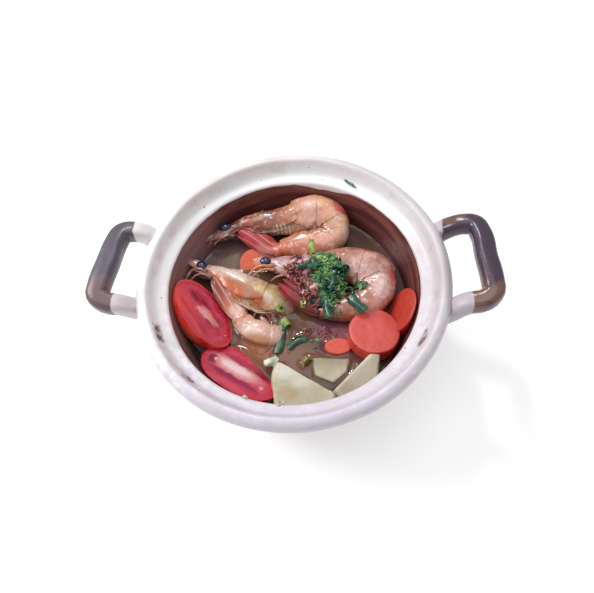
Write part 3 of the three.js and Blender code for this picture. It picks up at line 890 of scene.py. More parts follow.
parts = straight_shrimp()
for part in parts.values():
    marked(part)
SHRIMPS = {
    "shrimp_middle": dict(
        route=[(-41, 17.5), (-31, 15.5), (-17, 13.5), (-2, 13), (11, 14), (22, 15), (32, 12.5), (40, 5),
               (41, -5), (36, -13), (27.5, -17), (17.5, -19.5), (7.5, -20.5), (-1, -20.5)],
        tail_aim=-33, tail_rise=10, tail_length=37, at=(20, 10, 58), turn=(6, 0, 0),
        fuller=((0, 1, 1.2), (0.06, 1, 1.7), (0.14, 0.95, 1.75), (0.36, 1, 1.5), (0.46, 1.02, 1.95),
                (0.6, 1, 2.05), (0.68, 0.9, 2.05), (0.78, 0.96, 2.05), (0.86, 1.06, 1.95),
                (0.95, 1.25, 1.6), (1, 1.3, 1.4)),
        limbs=0.55, fan=1.3, eye=(1.35, -1, 4.2), spur=0.5, nose=0.5),
    "shrimp_top": dict(
        route=[(-53, 0.5), (-40, 5.5), (-27, 6.5), (-14.5, 7.5), (-4, 9.5), (7, 12.5), (18, 13.5),
               (27.5, 8.5), (30, -1), (24, -9), (13, -11.5), (1, -12.5), (-9, -14), (-15.5, -15)],
        tail_aim=-41, tail_rise=2, tail_length=37, at=(0, 55, 60), turn=(16, 0, 0),
        fuller=((0, 1, 1), (0.1, 0.95, 1), (0.3, 0.92, 1.4), (0.365, 0.92, 1.5), (0.38, 1.1, 1.6),
                (0.48, 1.12, 1.8), (0.56, 0.98, 1.6), (0.63, 0.78, 1.5), (0.7, 0.86, 1.7), (0.8, 1.1, 2.0),
                (0.9, 1.2, 1.95), (1, 1.2, 1.5)),
        limbs=0.62, fan=1.4, eye=(1.3, -1.5, 0.6), spur=0.62, nose=0.9),
    "shrimp_left": dict(
        route=[(-34, 17), (-23.5, 12.5), (-11, 5.5), (0, -1), (12, -6, -1), (23, -9, -3), (31, -15, -8),
               (33, -24, -10), (27, -31.5, -6), (18, -33, -1), (9, -31), (1, -26), (-4, -20)],
        tail_aim=-6, tail_rise=6, tail_length=36, at=(-35, 7, 53), turn=(3, 7, 0),
        fuller=((0, 1, 1.1), (0.08, 1, 1.35), (0.18, 1.06, 1.7), (0.3, 1.08, 1.8), (0.4, 1, 1.4),
                (0.5, 1, 1.1), (0.62, 1, 1), (0.76, 1.05, 1.05), (0.88, 1.15, 1.2), (1, 1.4, 1.5)),
        limbs=0.9, fan=1.5, eye=(1.35, -1.5, 3.6), spur=0.7, nose=0.75),
}
FEELERS = {  # routes of the thin feelers in front of each head and of the curled feet, and their thickness
    "shrimp_middle": (
        ([(-17, 20.5, 63), (-23, 20.5, 65.5), (-28.8, 18, 66), (-32.3, 13.8, 65.6), (-34.9, 9.7, 65)], 1.5),
        ([(-15, 18, 63.5), (-22, 17.6, 65.3), (-27, 15, 65.6), (-30, 11.5, 65.2)], 1.2),
        ([(-8, 14, 63), (-13.5, 11.6, 64), (-17, 8.5, 64)], 1.0),
    ),
    "shrimp_top": (
        ([(-50, 56, 60.5), (-56, 54, 62), (-61, 51, 62), (-65, 46, 61), (-66.5, 41.5, 59.5)], 1.6),
        ([(-47, 52, 60), (-54, 50, 61.5), (-59, 46.5, 61), (-63, 42.5, 59.5)], 1.5),
        ([(9, 58, 62), (5, 56, 63.5), (1, 51, 63), (0.8, 45.1, 61)], 1.1),
        ([(11, 55, 62), (6.6, 52, 63.5), (3.8, 48, 63), (3.4, 43.5, 61.5)], 1.0),
    ),
    "shrimp_left": (
        ([(-66, 18, 60), (-70.5, 20.3, 62), (-75.6, 19.5, 62), (-79.4, 15, 60.5), (-81.2, 8, 58)], 1.5),
        ([(-62, 14, 60), (-68, 16, 62), (-73, 15, 61.5), (-77.5, 10, 59.5), (-79.6, 4, 57)], 1.3),
        ([(-29.5, -16, 49.5), (-29, -12.6, 51.5), (-26.1, -9.1, 52.5), (-20.3, -7.5, 52.5),
          (-15.7, -12.3, 51.5), (-14.6, -21.1, 49.5)], 0.8),
        ([(-25, -18, 49.5), (-23.6, -12.6, 51.8), (-19.1, -13.6, 51.8), (-17.4, -19.8, 49.8)], 0.7),
    ),
}
# The colours along each shell from the nose to the tip of the fan, then washes over them: how far along
# and how high the middle of each is, its two half sizes, its colour and its strength.
SHELL_TONES = {
    "shrimp_middle": (
        ((0.0, (173, 118, 96)), (0.05, (180, 158, 166)), (0.14, (190, 155, 151)), (0.3, (180, 129, 112)),
         (0.42, (190, 128, 104)), (0.6, (198, 150, 136)), (0.78, (192, 134, 116)), (0.88, (154, 84, 54)),
         (0.98, (124, 52, 36)), (1.03, (104, 20, 20)), (1.3, (126, 6, 14))),
        ((0.5, 0.0, 0.46, 1.6, (88, 40, 28), 0.45), (0.64, 0.72, 0.03, 0.34, (196, 72, 62), 0.85),
         (0.47, 0.1, 0.05, 0.5, (214, 172, 162), 0.6),
         (0.68, -0.2, 0.05, 0.6, (220, 186, 182), 0.6), (0.44, 0.7, 0.08, 0.3, (186, 118, 88), 0.5),
         (0.76, 0.5, 0.05, 0.4, (196, 104, 88), 0.5), (0.56, -0.7, 0.1, 0.4, (208, 172, 170), 0.6)),
    ),
    "shrimp_top": (
        ((0.0, (78, 56, 49)), (0.04, (109, 75, 60)), (0.1, (167, 88, 68)), (0.2, (158, 88, 70)),
         (0.3, (188, 118, 86)), (0.37, (200, 138, 98)), (0.42, (206, 152, 134)), (0.52, (204, 150, 128)),
         (0.6, (214, 168, 140)), (0.74, (204, 142, 112)), (0.9, (200, 118, 88)), (1.0, (196, 96, 76)),
         (1.06, (158, 44, 40)), (1.3, (160, 10, 26))),
        ((0.14, 0.0, 0.2, 1.6, (84, 36, 24), 0.58), (0.7, 0.0, 0.34, 1.6, (110, 66, 44), 0.16),
         # The purple-grey wash high on the head shell, at 0.24 along, is a painted reflection of the light.
         (0.24, 0.3, 0.05, 0.26, (110, 84, 92), 0.9), (0.5, 0.35, 0.04, 0.35, (206, 138, 66), 0.8),
         (0.575, 0.7, 0.025, 0.3, (190, 58, 44), 0.95), (0.45, -0.3, 0.06, 0.3, (220, 168, 156), 0.6),
         (0.66, 0.6, 0.05, 0.5, (222, 178, 136), 0.6), (0.27, -0.95, 0.09, 0.3, (184, 152, 120), 0.9)),
    ),
    "shrimp_left": (
        ((0.0, (167, 118, 102)), (0.06, (210, 180, 169)), (0.2, (218, 194, 180)), (0.33, (210, 178, 137)),
         (0.42, (200, 170, 116)), (0.5, (204, 166, 140)), (0.7, (220, 186, 166)), (0.86, (222, 184, 164)),
         (0.98, (208, 150, 122)), (1.04, (190, 104, 72)), (1.16, (176, 78, 58)), (1.3, (150, 52, 42))),
        ((0.45, 0.0, 0.6, 1.6, (110, 66, 48), 0.1), (0.38, 0.1, 0.05, 0.6, (192, 170, 104), 0.7),
         (0.16, 0.5, 0.1, 0.4, (226, 208, 204), 0.7),
         (0.22, -0.6, 0.15, 0.42, (214, 96, 18), 0.95), (0.1, -0.7, 0.06, 0.3, (196, 120, 78), 0.7),
         (0.315, -0.5, 0.022, 0.34, (232, 208, 180), 1.0), (0.8, 0.4, 0.08, 0.4, (232, 206, 194), 0.6),
         (0.24, -1.15, 0.12, 0.16, (196, 168, 140), 0.9), (1.12, -0.5, 0.1, 0.5, (214, 178, 166), 0.7)),
    ),
}
# More washes, laid by their place in the pot: middle, half sizes, turn in degrees, colour and strength.
SPOTS = {
    "shrimp_middle": (
        ((69.4, 12), (3, 4.5), 0, (176, 62, 54), 0.8), ((62, 2), (7, 8), 0, (216, 182, 178), 0.5),
        ((56.2, 7.9), (12, 0.45), 56, (128, 74, 58), 0.8), ((41, 29), (6, 4), 0, (140, 92, 68), 0.5),
        ((42, 3), (7, 4), -10, (108, 68, 56), 0.85), ((18, -21), (20, 5.5), 4, (142, 84, 58), 0.65),
        ((45, -17), (12, 4.5), 10, (170, 108, 80), 0.6), ((-8, 20), (9, 2.4), 4, (214, 176, 160), 0.6),
        ((-4, 13), (10, 3), 0, (206, 140, 112), 0.6), ((52, 26), (9, 2), 20, (206, 158, 146), 0.6),
        ((66, 21), (4, 3), -30, (204, 146, 128), 0.6), ((55, -13), (8, 3), 30, (212, 170, 154), 0.6),
        ((-8, -1), (5, 5), -30, (158, 18, 30), 0.8),
    ),
    "shrimp_top": (
        ((31.7, 67), (2.4, 5), 20, (186, 60, 48), 0.8), ((38, 49), (3, 5), 0, (224, 198, 188), 0.8),
        ((-12, 52), (10, 3), 0, (126, 76, 62), 0.6), ((16, 50), (14, 1.2), 6, (146, 80, 64), 0.8),
        ((12, 70), (9, 4), 8, (222, 184, 172), 0.7), ((24, 62), (5, 6), 0, (208, 148, 104), 0.6),
        ((-30, 60), (8, 1.6), 18, (190, 150, 132), 0.6), ((-38, 57), (5, 3), 20, (176, 66, 54), 0.6),
        ((8, 60), (6, 3), 0, (216, 158, 132), 0.6), ((18, 44), (12, 2.4), 4, (214, 150, 124), 0.6),
        ((-37, 45.6), (8, 5), -35, (160, 20, 30), 0.8), ((-23, 37), (8, 4), -35, (206, 146, 134), 0.45),
    ),
    "shrimp_left": (
        ((-44, 16), (14, 2.6), -30, (236, 218, 210), 0.5),
        ((-37.2, 2.4), (18, 5.6), -32, (148, 80, 34), 0.85),
        ((-43, 4.5), (9, 3.2), -32, (188, 88, 26), 0.8), ((-27, -3.6), (5, 4), -32, (168, 78, 20), 0.9),
        ((-38, 8.6), (16, 0.5), -32, (160, 102, 62), 0.6), ((-12, 2), (7, 7), 0, (178, 156, 108), 0.8),
        ((-19.4, -1.4), (3, 4.8), 14, (204, 182, 160), 1.0),
        ((-30, -10.5), (16, 2), -26, (204, 184, 156), 0.7),
        ((-42.5, -12.3), (5, 7), -40, (224, 194, 182), 0.75), ((-57, 1), (5.5, 10), 24, (116, 30, 16), 0.88),
        # The pale spot at (-31, -27) is a painted highlight on the hump of the curled tail.
        ((-31, -27), (8, 4), -20, (234, 214, 204), 0.7), ((-24, -34), (13, 4), -10, (198, 142, 100), 0.85),
    ),
}
GILLS = {"shrimp_top": (0.285, -0.85, 0.055, 0.34)}  # where ribbed gills show through the head shell
STRIPES = {"shrimp_middle": (150, 44, 40), "shrimp_top": (214, 132, 120), "shrimp_left": (224, 170, 152)}
BROTH_LINE = (48.5, 54.5)  # shells look brown below the first height and clean above the second


def shrimp_finish(name, stops, washes, spots=(), stripe=(196, 84, 70), gills=None, roughness=0.3):
    """Boiled shrimp shell: colour along the body, washes of orange and red, fine red freckles, wet."""
    finish, tree, shader, place = new_finish(
        name, roughness, Coat_Roughness=0.14, Subsurface_Weight=0.1, Subsurface_Scale=0.4,
        Subsurface_Radius=(0.004, 0.0015, 0.001))
    t = noted(tree, "along")
    h = noted(tree, "high")
    along = plus(tree, t, times(tree, less(tree, cloud(tree, place, 7, 3), 0.5), 0.09))
    ramp = put(tree, "ShaderNodeValToRGB", {0: calc(tree, "DIVIDE", along, FAN_TIP)})
    slots = ramp.color_ramp.elements
    while len(slots) < len(stops):
        slots.new(0.5)
    for slot, (at, colour) in zip(slots, stops):
        slot.position = at / FAN_TIP
        slot.color = tone(*colour)
    colour = ramp.outputs[0]
    body_place = point(tree, along, h)
    for at, height, long, tall, wash, share in washes:
        spot = patch(tree, body_place, (at, height, 0), (long, tall, 1), 0.6)
        colour = cover(tree, times(tree, spot, share), colour, tone(*wash))
    on_body = step(tree, t, 0.94, 1.02, 1.0, 0.0)
    mottle = step(tree, cloud(tree, place, 3.4, 4, 0.65), 0.46, 0.68)
    colour = cover(tree, times(tree, mottle, times(tree, on_body, 0.5)), colour, tone(186, 94, 62))
    pale = step(tree, cloud(tree, place, 4.4, 3, 0.6, 0.6), 0.52, 0.66)
    colour = cover(tree, times(tree, pale, step(tree, t, 0.9, 1.0, 0.5, 0.0)), colour, tone(230, 206, 196))

    jitter = times(tree, less(tree, cloud(tree, place, 2.4, 3), 0.5), 2.4)
    ragged = shifted(tree, "ADD", place, point(tree, jitter, jitter))
    for (mx, my), (hx, hy), turn, wash, share in spots:
        feeds = {"Vector": ragged, "Center": (mx, my, 0), "Angle": -math.radians(turn)}
        turned = put(tree, "ShaderNodeVectorRotate", feeds, rotation_type="Z_AXIS").outputs[0]
        spot = patch(tree, turned, (mx, my, 60), (hx, hy, 60), 0.5)
        colour = cover(tree, times(tree, spot, share), colour, tone(*wash))

    crease = calc(tree, "ABSOLUTE", less(tree, cloud(tree, place, 6, 3, 0.6, 1.2), 0.5))
    crease = times(tree, on_body, step(tree, crease, 0.0, 0.024, 0.5, 0.0))
    colour = cover(tree, crease, colour, tone(146, 74, 54))
    freckle = step(tree, grains(tree, place, 0.9)[0], 0.12, 0.3, 1.0, 0.0)
    freckle = times(tree, freckle, step(tree, cloud(tree, place, 6, 2), 0.42, 0.6))
    colour = cover(tree, times(tree, freckle, times(tree, on_body, 0.5)), colour, tone(140, 58, 42))
    on_fan = step(tree, t, 0.99, 1.05)
    rays = calc(tree, "SINE", times(tree, h, 9.0))
    ray = times(tree, step(tree, rays, 0.4, 1.0), times(tree, on_fan, 0.5))
    colour = cover(tree, ray, colour, tone(*stripe))
    tree.links.new(less(tree, 0.55, times(tree, on_fan, 0.4)), shader.inputs["Coat Weight"])
    height = split(tree, place)[2]
    colour = cover(tree, step(tree, height, *BROTH_LINE, 0.75, 0.0), colour, tone(142, 88, 58))
    wrinkles = plus(tree, cloud(tree, place, 3.2, 3, 0.55), times(tree, times(tree, rays, on_fan), 0.3))
    if gills:
        at, high, long, tall = gills
        inside = patch(tree, body_place, (at, high, 0), (long, tall, 1), 0.3)
        ribs = calc(tree, "SINE", times(tree, t, 330.0))
        rib = cover(tree, step(tree, ribs, -0.8, 0.2), tone(146, 112, 86), tone(212, 190, 156))
        colour = cover(tree, inside, colour, rib)
        wrinkles = plus(tree, wrinkles, times(tree, times(tree, ribs, inside), 0.8))
    tree.links.new(colour, shader.inputs["Base Color"])
    relief(tree, shader, wrinkles, 0.6, 0.6)
    return finish


MEAT_TONES = ((0.0, (118, 78, 62)), (0.2, (150, 116, 96)), (0.34, (184, 152, 126)), (0.5, (206, 166, 150)),
              (0.8, (196, 150, 132)), (0.95, (150, 72, 54)), (1.3, (140, 50, 42)))
meat_finish = shrimp_finish("shrimp_meat", MEAT_TONES, ())
SCALE_TONES = {"shrimp_middle": (202, 132, 98), "shrimp_top": (116, 74, 64), "shrimp_left": (150, 104, 88)}
scale_finishes = {name: shrimp_finish(name + "_feelers", ((0.0, mild), (1.3, mild)), (), roughness=0.36)
                  for name, mild in SCALE_TONES.items()}
eye_finish, tree, shader, place = new_finish("shrimp_eye", 0.22, Coat_Weight=0.6)
sheen = step(tree, cloud(tree, place, 2.5, 2), 0.4, 0.62)
tree.links.new(cover(tree, sheen, tone(10, 12, 30), tone(30, 42, 86)), shader.inputs["Base Color"])
relief(tree, shader, cloud(tree, place, 0.6, 2), 0.1, 0.3)

laid = {}
for name, settings in SHRIMPS.items():
    made = curled(parts, name, **settings)
    join_into(made["scales"], [feeler(route, thick) for route, thick in FEELERS[name]])
    laid[name] = made
    shell_finish = shrimp_finish(
        name + "_shell", *SHELL_TONES[name], SPOTS[name], STRIPES[name], GILLS.get(name))
    finishes = {"shell": shell_finish, "meat": shell_finish, "limbs": meat_finish,
                "scales": scale_finishes[name], "eyes": eye_finish}
    for part, piece in made.items():
        piece.data.materials.append(finishes[part])
        shade(piece, 50)
        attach(piece, "root")
    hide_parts(name)
for part in parts.values():
    bpy.data.objects.remove(part)

# ------------------------------------------------------------------ tomatoes
# Two halves of an oval tomato, cut lengthwise: glossy red skin, and a wet cut face with a pale core and
# shallow seed hollows on both sides of it.
TOMATO_LENGTH = 58
TOMATOES = {
    "tomato_left": dict(width=36, depth=23, at=(-63.4, -15.9, 62.6), turn=(-39, 14, -54), seed=3),
    "tomato_near": dict(width=38.5, depth=17, at=(-35.2, -57.6, 56.2), turn=(-28, 8, -28), seed=8),
}
FACE_RINGS = 17
FACE_RIM = 0.985    # how far out the cut face goes before it rounds into the skin
POT_CLEARANCE = 0.5


def hollow(u, v, seed):
    """How deep the cut face of a tomato dips at u along and v across it, each from -1 to 1."""
    edge = math.hypot(u, v)
    wander = noise.noise(Vector((u * 2.4, v * 2.4, seed)))
    core = math.exp(-((v / 0.16) ** 2) - (u / 0.75) ** 4)
    cells = math.exp(-(((abs(v) - 0.42 + 0.1 * wander) / 0.2) ** 2)) * math.exp(-((u / 0.72) ** 4))
    wall = 0.5 + 0.5 * math.cos(u * 7.5 + seed + 2 * wander)
    return -0.9 * cells * (0.35 + 0.65 * wall) + 0.4 * core - 0.9 * max(0, edge - 0.9) / 0.1 + 0.3 * wander


def keep_inside(piece):
    """Where a piece was pressed against the wall of the pot, it gives way and stays clear of it."""
    wall = [(z, r) for r, z in reversed(INSIDE)]
    for vertex in piece.data.vertices:
        height = vertex.co.z / MM
        span = next(((a, b) for a, b in zip(wall, wall[1:]) if a[0] <= height <= b[0]), None)
        if span is None:
            continue
        (z0, r0), (z1, r1) = span
        limit = (r0 + (r1 - r0) * (height - z0) / (z1 - z0) - POT_CLEARANCE) * MM
        radius = vertex.co.xy.length
        if radius > limit:
            vertex.co.xy *= limit / radius


def tomato_half(name, width, depth, at, turn, seed):
    """One half, its cut face up, rounded in at the skin and hollowed at the seeds."""
    bpy.ops.mesh.primitive_uv_sphere_add(segments=72, ring_count=36, radius=1)
    piece = open_up(name)
    bpy.ops.mesh.bisect(plane_co=(0, 0, 0), plane_no=(0, 0, 1), clear_outer=True, use_fill=True)
    pick(piece, lambda p, n: n.z > 0.9 and abs(p.z) < 1)
    for _ in range(FACE_RINGS):
        bpy.ops.mesh.inset(thickness=0.93 / FACE_RINGS)
    bpy.ops.mesh.select_mode(type="VERT")
    bpy.ops.mesh.select_all(action="SELECT")
    bpy.ops.object.mode_set(mode="OBJECT")
    on_face, dips = [], []
    for vertex in piece.data.vertices:
        u, v, w = vertex.co
        cut = w > -0.001 and math.hypot(u, v) < FACE_RIM
        swell = 1 + 0.03 * noise.noise(Vector((u * 1.5, v * 1.5, w * 1.5 + seed)))
        dip = hollow(u, v, seed) if cut else 0
        on_face.append(float(cut))
        dips.append(dip)
        fuller = 1 - 0.08 * abs(w) ** 3
        vertex.co = Vector((u * TOMATO_LENGTH / 2 * swell * fuller, v * width / 2 * swell * fuller,
                            w * depth + dip)) * MM
    keep(piece, "cut", on_face)
    keep(piece, "dip", dips)
    record(piece, "along", lambda p: p.x / TOMATO_LENGTH * 2)
    record(piece, "across", lambda p: p.y / width * 2)
    reopen(piece)
    close_up(piece, 50)
    lay_down(piece, at, turn)
    keep_inside(piece)
    return piece


def tomato_finish(name, skin_tones, core_at, core_half, streaks):
    """Skin outside; on the cut face crimson flesh, a paler core streak and darker wet seed hollows."""
    finish, tree, shader, place = new_finish(
        name, 0.24, Coat_Weight=0.6, Coat_Roughness=0.08, Subsurface_Weight=0.1, Subsurface_Scale=0.5,
        Subsurface_Radius=(0.004, 0.001, 0.001))
    cut = noted(tree, "cut")
    dip = noted(tree, "dip")
    grain = cloud(tree, place, 3.2, 4, 0.6)
    wander = times(tree, less(tree, grain, 0.5), 0.22)
    spot = point(tree, plus(tree, noted(tree, "along"), wander), plus(tree, noted(tree, "across"), wander))
    skin = cover(tree, step(tree, cloud(tree, place, 14, 3), 0.35, 0.7), *[tone(*c) for c in skin_tones])
    flesh = cover(tree, step(tree, grain, 0.35, 0.7), tone(186, 30, 60), tone(200, 62, 88))
    flesh = cover(tree, times(tree, step(tree, dip, -0.25, -0.9), 0.6), flesh, tone(150, 18, 50))
    flesh = cover(tree, step(tree, reach_of(tree, spot), 0.72, 0.98, 0.0, 0.8), flesh, tone(196, 28, 56))
    core = patch(tree, spot, core_at, core_half, 0.5)
    flesh = cover(tree, times(tree, core, 0.9), flesh, tone(224, 168, 172))
    for middle, half, colour in streaks:
        flesh = cover(tree, patch(tree, spot, middle, half, 0.45), flesh, tone(*colour))
    colour = cover(tree, step(tree, cut, 0.3, 0.7), skin, flesh)
    tree.links.new(colour, shader.inputs["Base Color"])
    relief(tree, shader, times(tree, grain, cut), 0.5, 0.5)
    return finish


# For each half: two tones of skin, the middle and half sizes of its pale core, then streaks of colour by
# their middle and half sizes on the cut face, which goes from -1 to 1 along and across.
TOMATO_MARKS = {
    "tomato_left": (((206, 30, 28), (222, 78, 50)), (0.12, 0.09, 0), (0.26, 0.2, 1), (
        ((-0.1, -0.08, 0), (0.13, 0.1, 1), (224, 140, 134)),
        ((0.12, 0.09, 0), (0.15, 0.11, 1), (230, 158, 146)),
        ((0.34, 0.24, 0), (0.13, 0.1, 1), (220, 132, 130)),
        ((-0.46, 0.06, 0), (0.2, 0.14, 1), (138, 16, 50)),
        ((0.3, -0.1, 0), (0.14, 0.1, 1), (150, 24, 56)),
        ((-0.5, -0.6, 0), (0.5, 0.34, 1), (216, 58, 58)),
        ((0.2, -0.62, 0), (0.4, 0.16, 1), (206, 62, 74)),
    )),
    "tomato_near": (((178, 16, 38), (196, 30, 52)), (-0.12, 0.06, 0), (0.62, 0.3, 1), (
        ((-0.04, -0.38, 0), (0.66, 0.1, 1), (142, 16, 66)),
        ((-0.72, -0.06, 0), (0.12, 0.2, 1), (124, 10, 58)),
        ((-0.66, -0.02, 0), (0.05, 0.08, 1), (232, 160, 150)),
        ((0.55, 0.42, 0), (0.4, 0.2, 1), (146, 18, 54)),
        ((0.62, -0.16, 0), (0.06, 0.06, 1), (226, 150, 150)),
        ((-0.14, 0.08, 0), (0.38, 0.17, 1), (236, 206, 204)),
        ((-0.1, -0.72, 0), (0.5, 0.12, 1), (204, 66, 90)),
        ((-0.1, 0.45, 0), (0.4, 0.14, 1), (168, 30, 60)),
    )),
}
for name, sizes in TOMATOES.items():
    piece = tomato_half(name + "_half", **sizes)
    piece.data.materials.append(tomato_finish(name + "_flesh", *TOMATO_MARKS[name]))
    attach(piece, "root")
    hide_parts(name)
    laid[name] = {"half": piece}

# ------------------------------------------------------------------ carrots
# Four thick slices of boiled carrot, cut straight across, their faces softer and duller than the side.
CARROTS = {
    "carrot_round": dict(radius=17.5, thickness=12, squash=1, at=(55.2, -30.4, 56.6), turn=(-7, 2, 0)),
    "carrot_wall": dict(radius=16.5, thickness=10, squash=1, at=(77.5, -15, 59.5), turn=(0, -60, -10)),
    "carrot_small": dict(radius=9.6, thickness=9, squash=0.62, at=(31, -36.3, 47.8), turn=(8, 0, 6)),
    "carrot_far": dict(radius=12.5, thickness=10, squash=1, at=(-31.2, 32.8, 46.5), turn=(20, 0, 0)),
}
EDGE_ROUNDING = 1.1
FACE_INSETS = 7
INSET_SHARE = 0.135  # of the slice's radius, for each inset


def carrot_slice(name, radius, thickness, squash, at, turn, seed):
    """One slice: rounded edges, a gently wavy outline and a face that is not quite flat."""
    bpy.ops.mesh.primitive_cylinder_add(vertices=80, radius=radius * MM, depth=thickness * MM)
    piece = open_up(name)
    bpy.ops.mesh.select_mode(type="EDGE")
    bpy.ops.mesh.select_all(action="DESELECT")
    bpy.ops.object.mode_set(mode="OBJECT")
    for edge in piece.data.edges:
        a, b = (piece.data.vertices[i].co for i in edge.vertices)
        edge.select = abs(a.z - b.z) < 1e-6
    bpy.ops.object.mode_set(mode="EDIT")
    bpy.ops.mesh.bevel(offset=EDGE_ROUNDING * MM, segments=4, affect="EDGES")
    pick(piece, lambda p, n: abs(n.z) > 0.99)
    for _ in range(FACE_INSETS):
        bpy.ops.mesh.inset(thickness=radius * INSET_SHARE * MM)
    bpy.ops.mesh.select_mode(type="VERT")
    bpy.ops.mesh.select_all(action="SELECT")
    bpy.ops.object.mode_set(mode="OBJECT")
    for vertex in piece.data.vertices:
        p = vertex.co / MM
        reach = p.xy.length / radius
        bearing = p.xy.normalized()
        swell = 1 + 0.03 * noise.noise(Vector((bearing.x * 1.6, bearing.y * 1.6, seed))) * reach
        swell += 0.008 * noise.noise(Vector((bearing.x * 7, bearing.y * 7, seed)))
        vertex.co.x *= swell
        vertex.co.y *= swell * squash
        vertex.co.z += 0.35 * noise.noise(p / 5 + Vector((seed, 0, 0))) * (1 - reach ** 4) * MM
    record(piece, "reach", lambda p: Vector((p.x, p.y / squash)).length / radius)
    record(piece, "depth", lambda p: abs(p.z) / thickness * 2)
    reopen(piece)
    close_up(piece, 50)
    lay_down(piece, at, turn)
    keep_inside(piece)
    return piece


carrot_flesh, tree, shader, place = new_finish(
    "carrot_flesh", 0.42, Coat_Weight=0.35, Coat_Roughness=0.25, Subsurface_Weight=0.1, Subsurface_Scale=0.5,
    Subsurface_Radius=(0.004, 0.0015, 0.001))
reach = noted(tree, "reach")
depth = noted(tree, "depth")
grain = cloud(tree, place, 1.1, 3, 0.6)
blot = cloud(tree, place, 6, 3, 0.6)
ring = plus(tree, reach, times(tree, less(tree, blot, 0.5), 0.35))
colour = cover(tree, step(tree, grain, 0.35, 0.7), tone(192, 60, 54), tone(206, 82, 74))
colour = cover(tree, step(tree, ring, 0.2, 0.5, 0.3, 0.0), colour, tone(212, 92, 82))
side = times(tree, step(tree, reach, 0.93, 0.99), step(tree, depth, 1.0, 0.85))
colour = cover(tree, times(tree, side, 0.85), colour, tone(196, 52, 34))
for middle, half, share, wash in (  # three of the slices are warmer or darker than the round one
    ((77.5, -15, 59.5), (16, 20, 20), 0.8, (176, 50, 34)),
    ((-31, 31, 50), (14, 14, 14), 0.9, (210, 84, 30)),
    ((31, -36.3, 50), (13, 9, 14), 0.75, (206, 62, 32)),
):
    slice_place = patch(tree, place, middle, half, 0.2)
    colour = cover(tree, times(tree, slice_place, share), colour, tone(*wash))
tree.links.new(colour, shader.inputs["Base Color"])
relief(tree, shader, plus(tree, grain, times(tree, blot, 0.6)), 0.3, 0.6)
for seed, (name, sizes) in enumerate(CARROTS.items()):
    piece = carrot_slice(name + "_slice", seed=seed * 3.7, **sizes)
    piece.data.materials.append(carrot_flesh)
    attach(piece, "root")
    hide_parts(name)
    laid[name] = {"slice": piece}

# ------------------------------------------------------------------ potatoes
# Three chunks of boiled potato, each with a rounded outside and flat knife cuts whose edges have gone
# soft in the broth.
POTATOES = {
    "potato_large": dict(half=(21.5, 24, 15), heading=8, cuts=(
        ((0.5, 0.86, 0), 6), ((-0.08, -0.14, 1), 9.6)), at=(8, -68, 50)),
    "potato_wall": dict(half=(21, 13, 15), heading=46, cuts=(
        ((-0.72, 0.69, 0.2), 5.4), ((0.22, -0.26, 0.94), 7.6), ((0.99, -0.13, 0), 12.2)), at=(44.2, -60, 54)),
    "potato_sunk": dict(half=(18, 15, 9.5), heading=0, cuts=(
        ((0, 0.1, 1), 5), ((0.035, 1, 0), 6.9), ((0.97, -0.24, 0), 11.8), ((0.66, -0.76, 0), 10),
        ((-0.42, -0.91, 0), 9.5), ((-0.98, -0.18, 0), 10.8)), at=(25, -52, 46.5)),
}
FULLNESS = 3  # 2 is an oval, more is squarer
REMESH_GRAIN = 0.7
EDGE_SOFTENING = 16


def potato_chunk(name, half, heading, cuts, at, seed):
    """A lump laid along its heading, cut flat, its cut edges softened."""
    bpy.ops.mesh.primitive_uv_sphere_add(segments=64, ring_count=40, radius=1)
    piece = open_up(name)
    bpy.ops.object.mode_set(mode="OBJECT")
    for vertex in piece.data.vertices:
        vertex.co /= sum(abs(side) ** FULLNESS for side in vertex.co) ** (1 / FULLNESS)
        vertex.co = Vector([side * size * MM for side, size in zip(vertex.co, half)])
        p = vertex.co / MM
        vertex.co *= 1 + 0.05 * noise.noise(p / 14 + Vector((seed, 0, 0))) + 0.012 * noise.noise(p / 4)
    piece.data.transform(Matrix.Rotation(math.radians(heading), 4, "Z"))
    for normal, distance in cuts:
        way = Vector(normal).normalized()
        reopen(piece)
        bpy.ops.mesh.select_all(action="SELECT")
        bpy.ops.mesh.bisect(plane_co=way * distance * MM, plane_no=way, clear_outer=True, use_fill=True)
        bpy.ops.object.mode_set(mode="OBJECT")
    apply_to(piece, "REMESH", mode="VOXEL", voxel_size=REMESH_GRAIN * MM)
    apply_to(piece, "SMOOTH", factor=0.5, iterations=EDGE_SOFTENING)
    for vertex in piece.data.vertices:
        p = vertex.co / MM
        vertex.co += vertex.normal * (0.3 * noise.noise(p / 7) + 0.1 * noise.noise(p / 2)) * MM
    reopen(piece)
    close_up(piece)
    lay_down(piece, at, (0, 0, 0))
    keep_inside(piece)
    return piece


